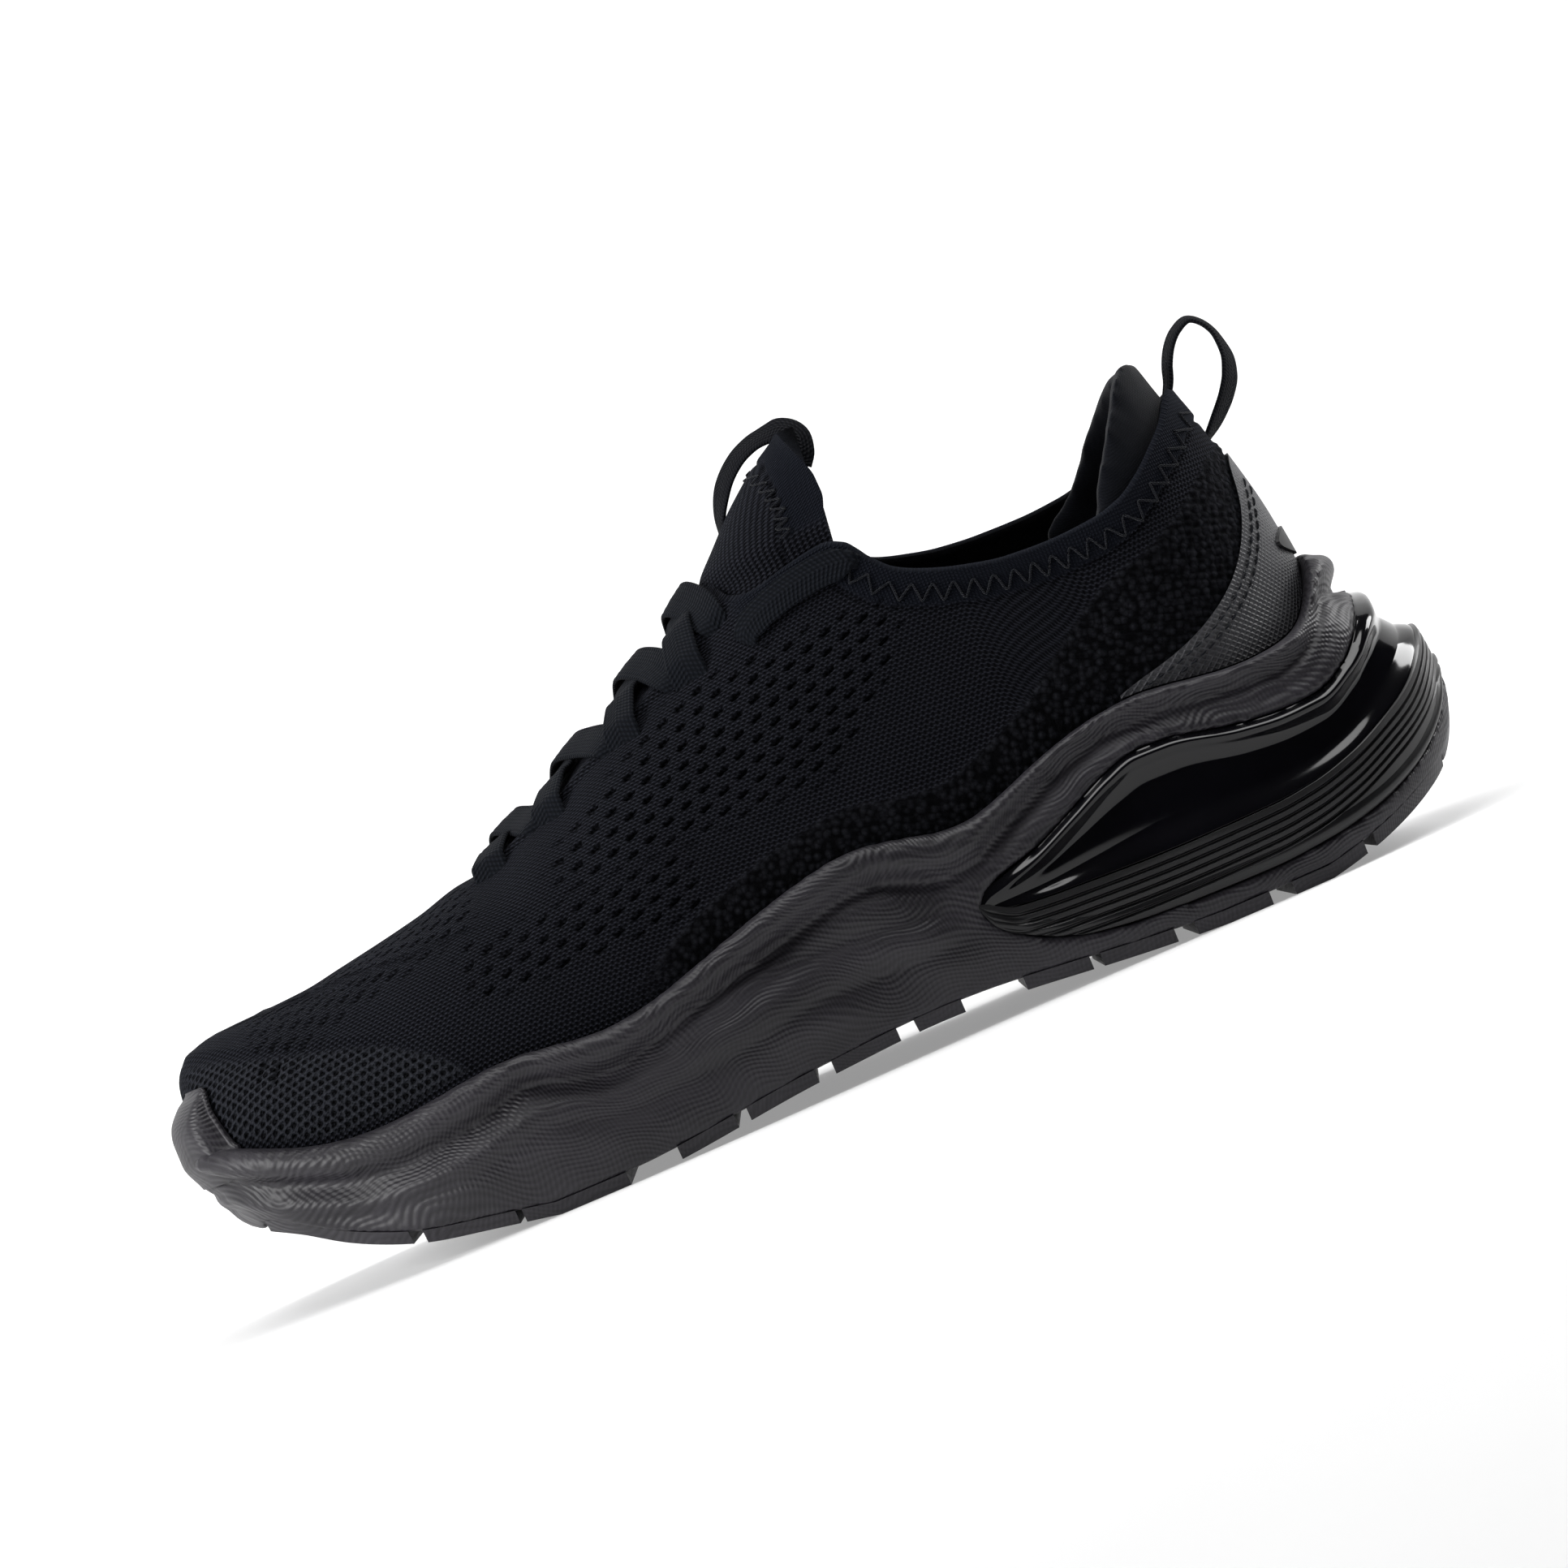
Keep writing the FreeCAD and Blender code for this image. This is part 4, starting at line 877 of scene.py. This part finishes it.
def wrap_shell(name, line_low, line_high, inset, profile, rows, columns, depth):
    """A skin round the heel between two side-view lines, lifted by its profile."""
    # from the outer tip round the back to the inner tip
    front, back = float(smooth(SOLE_FRONT, TIP_LEVEL)), float(smooth(SOLE_BACK, TIP_LEVEL))
    tip = math.acos(1 - 2 * (TIP_PLACE - front) / (back - front))
    theta = np.linspace(tip, 2 * np.pi - tip, columns)
    along = sole_points(np.full_like(theta, TIP_LEVEL), theta, inset)[..., 0]
    gap = 0.15 - 0.9 * ease((42 - along) / 7)
    low, high = on_line(line_low, theta, inset) + gap, on_line(line_high, theta, inset) - gap
    share = np.linspace(0, 1, rows)[:, None]
    z = low + (high - low) * share
    outer = sole_points(z, theta, inset)
    normal = grid_normals(outer)
    normal = normal * -np.sign(normal[rows // 2, columns // 4, 1])
    skin = outer + normal * profile(share, outer[..., 0], high - low)[..., None]
    return shell(name, skin, sole_points(z[:: max(rows // 8, 1)], theta, inset + depth), {})


def window_profile(share, x, height):
    """Tube along the roof over a hollowed, glossy window."""
    full = ease((height - 3) / 9)
    roof = 1.5 * np.exp(-(((1 - share) * height - 2.0) / 1.5) ** 2)
    hollow = -2.0 * ease(share / 0.3) * ease((1 - share - 2.0 / np.maximum(height, 3)) / 0.25)
    bulge = 0.7 * np.sin(np.pi * share) ** 2 * np.cos((x - 60) / 40)
    return full * (roof + hollow + bulge) + 0.4 * np.sin(np.pi * share) * (1 - full)


def band_profile(share, _, height):
    """Grooves in the upper part of the band over a plain rolled lip."""
    down = (1 - share) * height
    comb = np.maximum(0, np.cos(2 * np.pi * (down - 1.8) / 1.85)) ** 0.8
    grooves = -0.75 * comb * ease((down - 0.8) / 0.6) * ease((10.6 - down) / 0.6)
    roll = 0.7 * np.sin(np.pi * np.clip((height - down) / 3.4, 0, 1))
    return ease((height - 3.5) / 5) * (grooves + roll) + 0.3


def build_air():
    """The glossy window and the ribbed band under it."""
    rows, columns = ((130, 460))
    window = wrap_shell("air_window", BAND_TOP, AIR_ROOF, WINDOW_INSET, window_profile, rows, columns,
                        WINDOW_DEPTH)
    finish_piece(window, "shoe", GLOSS, "air", "air_unit")
    band = wrap_shell("ribbed_band", AIR_FLOOR, BAND_TOP, BAND_INSET, band_profile, rows * 2, columns,
                      BAND_DEPTH)
    finish_piece(band, "shoe", CRADLE, "cradle", "air_cradle")


build_air()


# ---- collar pillow and sockliner
PILLOW_INSET, PILLOW_PRESSURE, PILLOW_SWELL = 0.9, 4.0, 1.6
FOOTBED_INSET, FOOTBED_DISH = 0.25, 0.5


def inflate(obj, pressure, cap, frames=20):
    """Cloth under pressure: the piece swells and settles, and no point moves further than cap."""
    before, _ = vertex_arrays(obj)
    cloth = obj.modifiers.new("cloth", "CLOTH")
    cloth.settings.use_pressure = True
    cloth.settings.uniform_pressure_force = pressure
    cloth.settings.effector_weights.gravity = 0
    cloth.settings.quality = 5
    cloth.settings.tension_stiffness = cloth.settings.compression_stiffness = 12
    cloth.point_cache.frame_start, cloth.point_cache.frame_end = 1, frames
    scene = bpy.context.scene
    for index in range(1, frames + 1):
        scene.frame_set(index)
    after, _ = vertex_arrays(obj.evaluated_get(bpy.context.evaluated_depsgraph_get()))
    obj.modifiers.clear()
    scene.frame_set(1)
    move = after - before
    far = np.linalg.norm(move, axis=1, keepdims=True)
    set_points(obj, before + move * np.minimum(1, cap / np.maximum(far, 1e-6)))


def build_pillow():
    """The collar's padding, blown up as cloth over the CAD pillow's form."""
    obj = node_copy("collar_pillow", "collar_pad", 2.4)
    points, normals = vertex_arrays(obj)
    set_points(obj, points - normals * PILLOW_INSET)
    inflate(obj, PILLOW_PRESSURE, PILLOW_SWELL)
    refine(obj, 2)
    bake(obj)
    finish_piece(obj, "shoe", PILLOW, "lining", "collar_pillow")


def build_sockliner():
    """The footbed, a little dished."""
    obj = node_copy("sockliner", "footbed_pad", 2.2)
    points, normals = vertex_arrays(obj)
    points[:, 2] -= ease((normals[:, 2] - 0.5) / 0.3) * FOOTBED_DISH * np.cos(points[:, 1] / 14)
    set_points(obj, points - normals * FOOTBED_INSET)
    refine(obj, 1)
    finish_piece(obj, FLEX, LINING, "liner", "sockliner")


build_pillow()
build_sockliner()


# ---- pull loops
LOOP_WIDTH, LOOP_THICK, LOOP_RIB = 7.9, 1.15, 1.1
HEEL_LOOP = [(117.6, 107.2), (118.7, 109.6), (120.4, 112.8), (121.6, 116.2), (123.6, 119.8), (126.3, 122.5),
             (129.4, 123.8), (132.3, 121.9), (134.2, 118), (134.7, 113.4), (133.6, 109), (131.2, 105.2),
             (128.6, 102.4), (126.2, 100.2), (124.2, 98.6), (122.6, 97.4)]
TONGUE_LOOP = [(16.3, 121.2), (17.0, 124.0), (20, 129.8), (23.4, 133.4), (27.4, 135.9), (31.5, 137.1),
               (36, 137.4), (38.7, 136), (39.8, 133.8), (39.2, 131.2), (37.6, 129.0)]
HEEL_TWIST = [(0, 4), (0.3, 10), (0.5, 12), (0.72, 28), (0.88, 22), (1, 6)]
TONGUE_TWIST = [(0, 6), (0.25, 26), (0.6, 30), (0.8, 48), (1, 62)]
STRAIGHT = [(0, 0), (1, 0)]
TONGUE_ASIDE = [(0, 0), (0.25, 0), (0.6, 0), (0.8, -1.0), (1, -2.2)]


def loop_piece(name, path, body, twists, asides):
    """A tape loop: its twist in degrees and its sideways place, each by the share of its length."""
    flat = resample(path, 0.4)
    share = np.linspace(0, 1, len(flat))
    twist = np.radians(smooth(twists, share))[:, None]
    centre = np.stack([flat[:, 0], smooth(asides, share), flat[:, 1]], -1)
    along = unit(np.gradient(centre, axis=0))
    square = unit(np.cross(along, [0.0, 1.0, 0.0]))
    across = np.cos(twist) * np.cross(square, along) + np.sin(twist) * square
    strip = ribbon(centre, across, np.cross(along, across), LOOP_WIDTH, LOOP_THICK, LOOP_RIB)
    finish_piece(joined(name, [strip]), body, TAPE, "tape", body)


loop_piece("heel_pull", HEEL_LOOP, "heel_loop", HEEL_TWIST, STRAIGHT)
loop_piece("tongue_pull", TONGUE_LOOP, "tongue_loop", TONGUE_TWIST, TONGUE_ASIDE)


# ---- laces
LACE_STATIONS = [-59, -42.5, -21, -2.5, 10]
SLOT_HALF = [(-60, 21.3), (-43, 21.8), (-22, 22.8), (-3, 23.6), (8, 22.0)]
LACE_WIDTH, LACE_THICK, LACE_RIB = 9.0, 1.2, 1.3
BAND_PATH = [(10.5, 95.5), (13.5, 98.0), (18, 100.2), (26, 102.4), (33, 103.2), (38, 102.9), (41.5, 101.4)]


def strap(centre, up, width):
    """A lace along centre that lies square to up."""
    along = unit(np.gradient(centre, axis=0))
    across = unit(np.cross(up, along))
    return ribbon(centre, across, unit(np.cross(along, across)), width, LACE_THICK, LACE_RIB)


def on_instep(x, y, lift):
    """A point above the instep, and the way up from it."""
    slope_x = last_top(x + 0.5, y) - last_top(x - 0.5, y)
    slope_y = last_top(x, y + 0.5) - last_top(x, y - 0.5)
    up = unit(np.stack([-slope_x, -slope_y, np.ones_like(x)], -1))
    return np.stack([x, y, last_top(x, y)], -1) + up * lift[..., None], up


def wall_point(x, z, side, lift):
    """A point on the upper's side wall, and the way out from it."""
    def at(px, pz):
        return off_middle(px, side * last_half(px, pz, side), pz)

    out = unit(np.cross(at(x + 0.4, z) - at(x - 0.4, z), at(x, z + 0.4) - at(x, z - 0.4)))
    out = out * np.sign(out[..., 1:2] * side)
    return at(x, z) + out * (lift + 0.0 * x)[..., None], out


def lace_pass(here, after, side, hump):
    """One lace pass between two slots; it dives into the knit at both ends."""
    t = np.linspace(-0.05, 1.05, 90)
    x = here + (after - 3 - here) * t
    y = float(smooth(LAST_MIDDLE, here)) + side * smooth(SLOT_HALF, x) * (1 - 2 * t)
    lift = 0.95 + hump * np.exp(-((t - 0.5) / 0.17) ** 2) + 0.35 * np.sin(np.pi * np.clip(t, 0, 1))
    lift = lift + 1.2 * between(t, -0.05, 0.25, 0.1) - 3.2 * (ease((0.05 - t) / 0.1) + ease((t - 0.95) / 0.1))
    return strap(*on_instep(x, y, lift), LACE_WIDTH - 2.5 * ease((t - 0.88) / 0.15))


def top_band(side):
    """The lace's last run along the collar, tapered and tucked in at both ends."""
    flat = resample(BAND_PATH, 0.4)
    share = np.linspace(0, 1, len(flat))
    lift = 1.0 - 2.6 * ease((0.09 - share) / 0.12) - 1.8 * ease((share - 0.9) / 0.1)
    width = 7.6 - 2.0 * ease((0.15 - share) / 0.15) - 5.0 * ease((share - 0.78) / 0.22)
    return strap(*wall_point(flat[:, 0], flat[:, 1], side, lift), width)


LACE_PAIRS = list(zip(LACE_STATIONS, LACE_STATIONS[1:]))
for name, side, hump, node in (("lace_lower", -1, 0.15, "lace_under"), ("lace_upper", 1, 2.3, "lace_over")):
    passes = [lace_pass(here, after, side, hump) for here, after in LACE_PAIRS]
    finish_piece(joined(name, passes), FLEX, LACE, "lace", node)
for side, word in ((-1, "outer"), (1, "inner")):
    band = joined(f"top_band_{word}", [top_band(side)])
    finish_piece(band, "shoe", LACE, "lace", f"lace_band_{word}")


# ---- stitching
THREAD_RADIUS, TONGUE_THREAD_RADIUS = 0.26, 0.24
OVERLAY_EDGE = [(82, 53.6), (85, 54.8), (92, 56.4), (100, 59), (107, 62.6), (113, 67.2), (117.5, 72.6),
                (120.5, 78), (122.5, 84), (123.6, 88)]


def collar_run(side, collar):
    """The zigzag under the collar's edge."""
    path = resample([p for p in collar if 15 <= p[0] <= 119], 2.1)
    lean = unit(np.gradient(path, axis=0))
    down = np.stack([lean[:, 1], -lean[:, 0]], -1)
    down = down * np.sign(-down[:, 1:2])
    step = np.where(np.arange(len(path)) % 2 > 0, 2.6, 6.2)[:, None]
    corner = resample(path + down * step, 0.5)
    corner = corner[corner[:, 0] < smooth(HEEL_BACK, corner[:, 1]) - 1.0]
    return wall_point(corner[:, 0], corner[:, 1], side, 0.62)[0]


def overlay_dashes(side, inward):
    """A row of single stitches inside the heel overlay's edge."""
    edge = [(x + inward * 0.35, z - inward) for x, z in OVERLAY_EDGE if z - inward > smooth(RIM, x) + 0.6]
    path = resample(edge, 2.6)
    runs = []
    for a, b in zip(path, path[1:]):
        dash = a + (b - a) * np.linspace(0.12, 0.88, 5)[:, None]
        dash = dash[dash[:, 0] < smooth(HEEL_BACK, dash[:, 1]) - 0.3]
        if len(dash) > 2:
            arch = 1.42 + 0.22 * np.sin(np.pi * np.linspace(0, 1, len(dash)))
            runs.append(wall_point(dash[:, 0], dash[:, 1], side, arch)[0])
    return runs


def tongue_run(side):
    """The zigzag inside the tongue's rim."""
    level = np.arange(113.0, 131.0, 1.15)
    step = np.where(np.arange(len(level)) % 2 > 0, 1.4, -1.4)
    place = smooth(TONGUE_BACK, level) - 9.0 + step - (level - 113) * 0.1
    corner = resample(np.stack([place, level], -1), 0.5)
    return wall_point(corner[:, 0], corner[:, 1], side, 1.05)[0]


def thread_piece(name, body, slot, runs, radius=THREAD_RADIUS):
    """All the runs of one seam as a piece."""
    finish_piece(joined(name, [tube(run, radius) for run in runs]), body, THREAD, slot)


thread_piece("collar_stitching", "shoe", "knit", [collar_run(-1, COLLAR_OUTER), collar_run(1, COLLAR_INNER)])
dashes = [run for side in (-1, 1) for inward in (1.8, 3.8) for run in overlay_dashes(side, inward)]
thread_piece("overlay_stitching", "shoe", "overlay", dashes)
tongue_runs = [tongue_run(side) for side in (-1, 1)]
thread_piece("tongue_stitching", "tongue", "knit", tongue_runs, TONGUE_THREAD_RADIUS)


# ---- felt board under the foot
finish_piece(node_copy("strobel_board", "felt_board", 0.8), FLEX, BOARD, "board", "strobel_board")


# ---- finishes of the CAD pieces that stay
def wrap_node(node, material, bevel=0.0):
    """Gives a CAD node its finish and, where its edges are moulded, a small rounding."""
    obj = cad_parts[node]
    obj.data.materials.clear()
    obj.data.materials.append(material)
    if bevel:
        made = obj.modifiers.new("moulded_edge", "BEVEL")
        made.width, made.segments, made.limit_method = bevel * MM, 2, "ANGLE"
        made.angle_limit = math.radians(40)


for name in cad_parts:
    if name.startswith("pod_"):
        wrap_node(name, TREAD, 0.2)
wrap_node("heel_overlay", OVERLAY, 0.3)
wrap_node("heel_badge", BADGE, 0.25)
wrap_node("heel_lining", LINING)
wrap_node("toe_puff", STIFF)
wrap_node("heel_counter", STIFF)


# ---- camera, light and floor
TILT = math.radians(23.36)
VIEW_WIDTH = 0.3478
LENS, SENSOR = 100.0, 36.0
AIM = Vector((0.00675, 0.0, 0.0646))
HORIZON_LIGHT, ZENITH_LIGHT = 0.06, 0.95
BACKDROP_GLOW = 12.0
SWEEP = [(-2.2, 0.0), (0.9, 0.0), (1.25, 0.05), (1.45, 0.25), (1.5, 0.6), (1.5, 2.2)]
SWEEP_HALF = 3.0
SOFTBOXES = [("top_softbox", (0.0, -0.12, 1.0), (0.9, 0.5), 8),
             ("side_softbox", (-1.15, -0.4, 0.5), (0.4, 0.7), 17),
             ("rim_softbox", (0.8, 0.25, 0.6), (0.3, 0.6), 7)]


def build_camera(scene):
    """The photograph's view: level with the shoe and rolled, so that the toe points down."""
    lens = bpy.data.cameras.new("camera")
    lens.lens, lens.sensor_width = LENS, SENSOR
    camera = linked("camera", lens)
    camera.location = AIM + Vector((0, -VIEW_WIDTH * LENS / SENSOR, 0))
    turn = camera.rotation_euler.to_matrix()
    turn.col[0] = Vector((math.cos(TILT), 0, -math.sin(TILT)))
    turn.col[1] = Vector((math.sin(TILT), 0, math.cos(TILT)))
    turn.col[2] = Vector((0, -1, 0))
    camera.rotation_euler = turn.to_euler()
    scene.camera = camera


def build_light(scene):
    """A dim room that brightens upwards, and three soft boxes."""
    sky = Nodes("studio", "worlds", "Background")
    height = sky.add("TexCoord", {}, "Generated").parts()[2]
    ramp = sky.add("MapRange", {"Value": height, "From Min": 0.0, "From Max": 0.75,
                                "To Min": HORIZON_LIGHT, "To Max": ZENITH_LIGHT})
    # seen directly, from the sides the sweep leaves open, the room is pale
    sky.shade(Strength=sky.add("LightPath", {}, "Is Camera Ray") * BACKDROP_GLOW + ramp)
    scene.world = sky.made
    scene.view_settings.view_transform = "Standard"
    for name, place, size, energy in SOFTBOXES:
        light = bpy.data.lights.new(name, "AREA")
        light.shape, light.size, light.size_y, light.energy = "RECTANGLE", *size, energy
        box = linked(name, light)
        box.location = place
        box.rotation_euler = (Vector((0, 0, 0.05)) - Vector(place)).to_track_quat("-Z", "Y").to_euler()


def build_floor():
    """A pale sweep, lit from behind, more towards its back wall."""
    points = [(x / MM, y / MM, z / MM) for x in (-SWEEP_HALF, SWEEP_HALF) for y, z in SWEEP]
    floor = mesh_object("floor", points, grid_faces(2, len(SWEEP)))
    paper = Nodes("paper")
    place = paper.place()
    glow = (place.parts()[1] * 0.0014).clamp(0.3, 0.7)
    paper.shade(Emission_Color=(1, 1, 1, 1), Emission_Strength=glow)
    floor.data.materials.append(paper.skin(paper.noise(place, 0.02, 2.0), (0.6,) * 3, (0.64,) * 3, 0.8))


build_camera(bpy.context.scene)
build_light(bpy.context.scene)
build_floor()
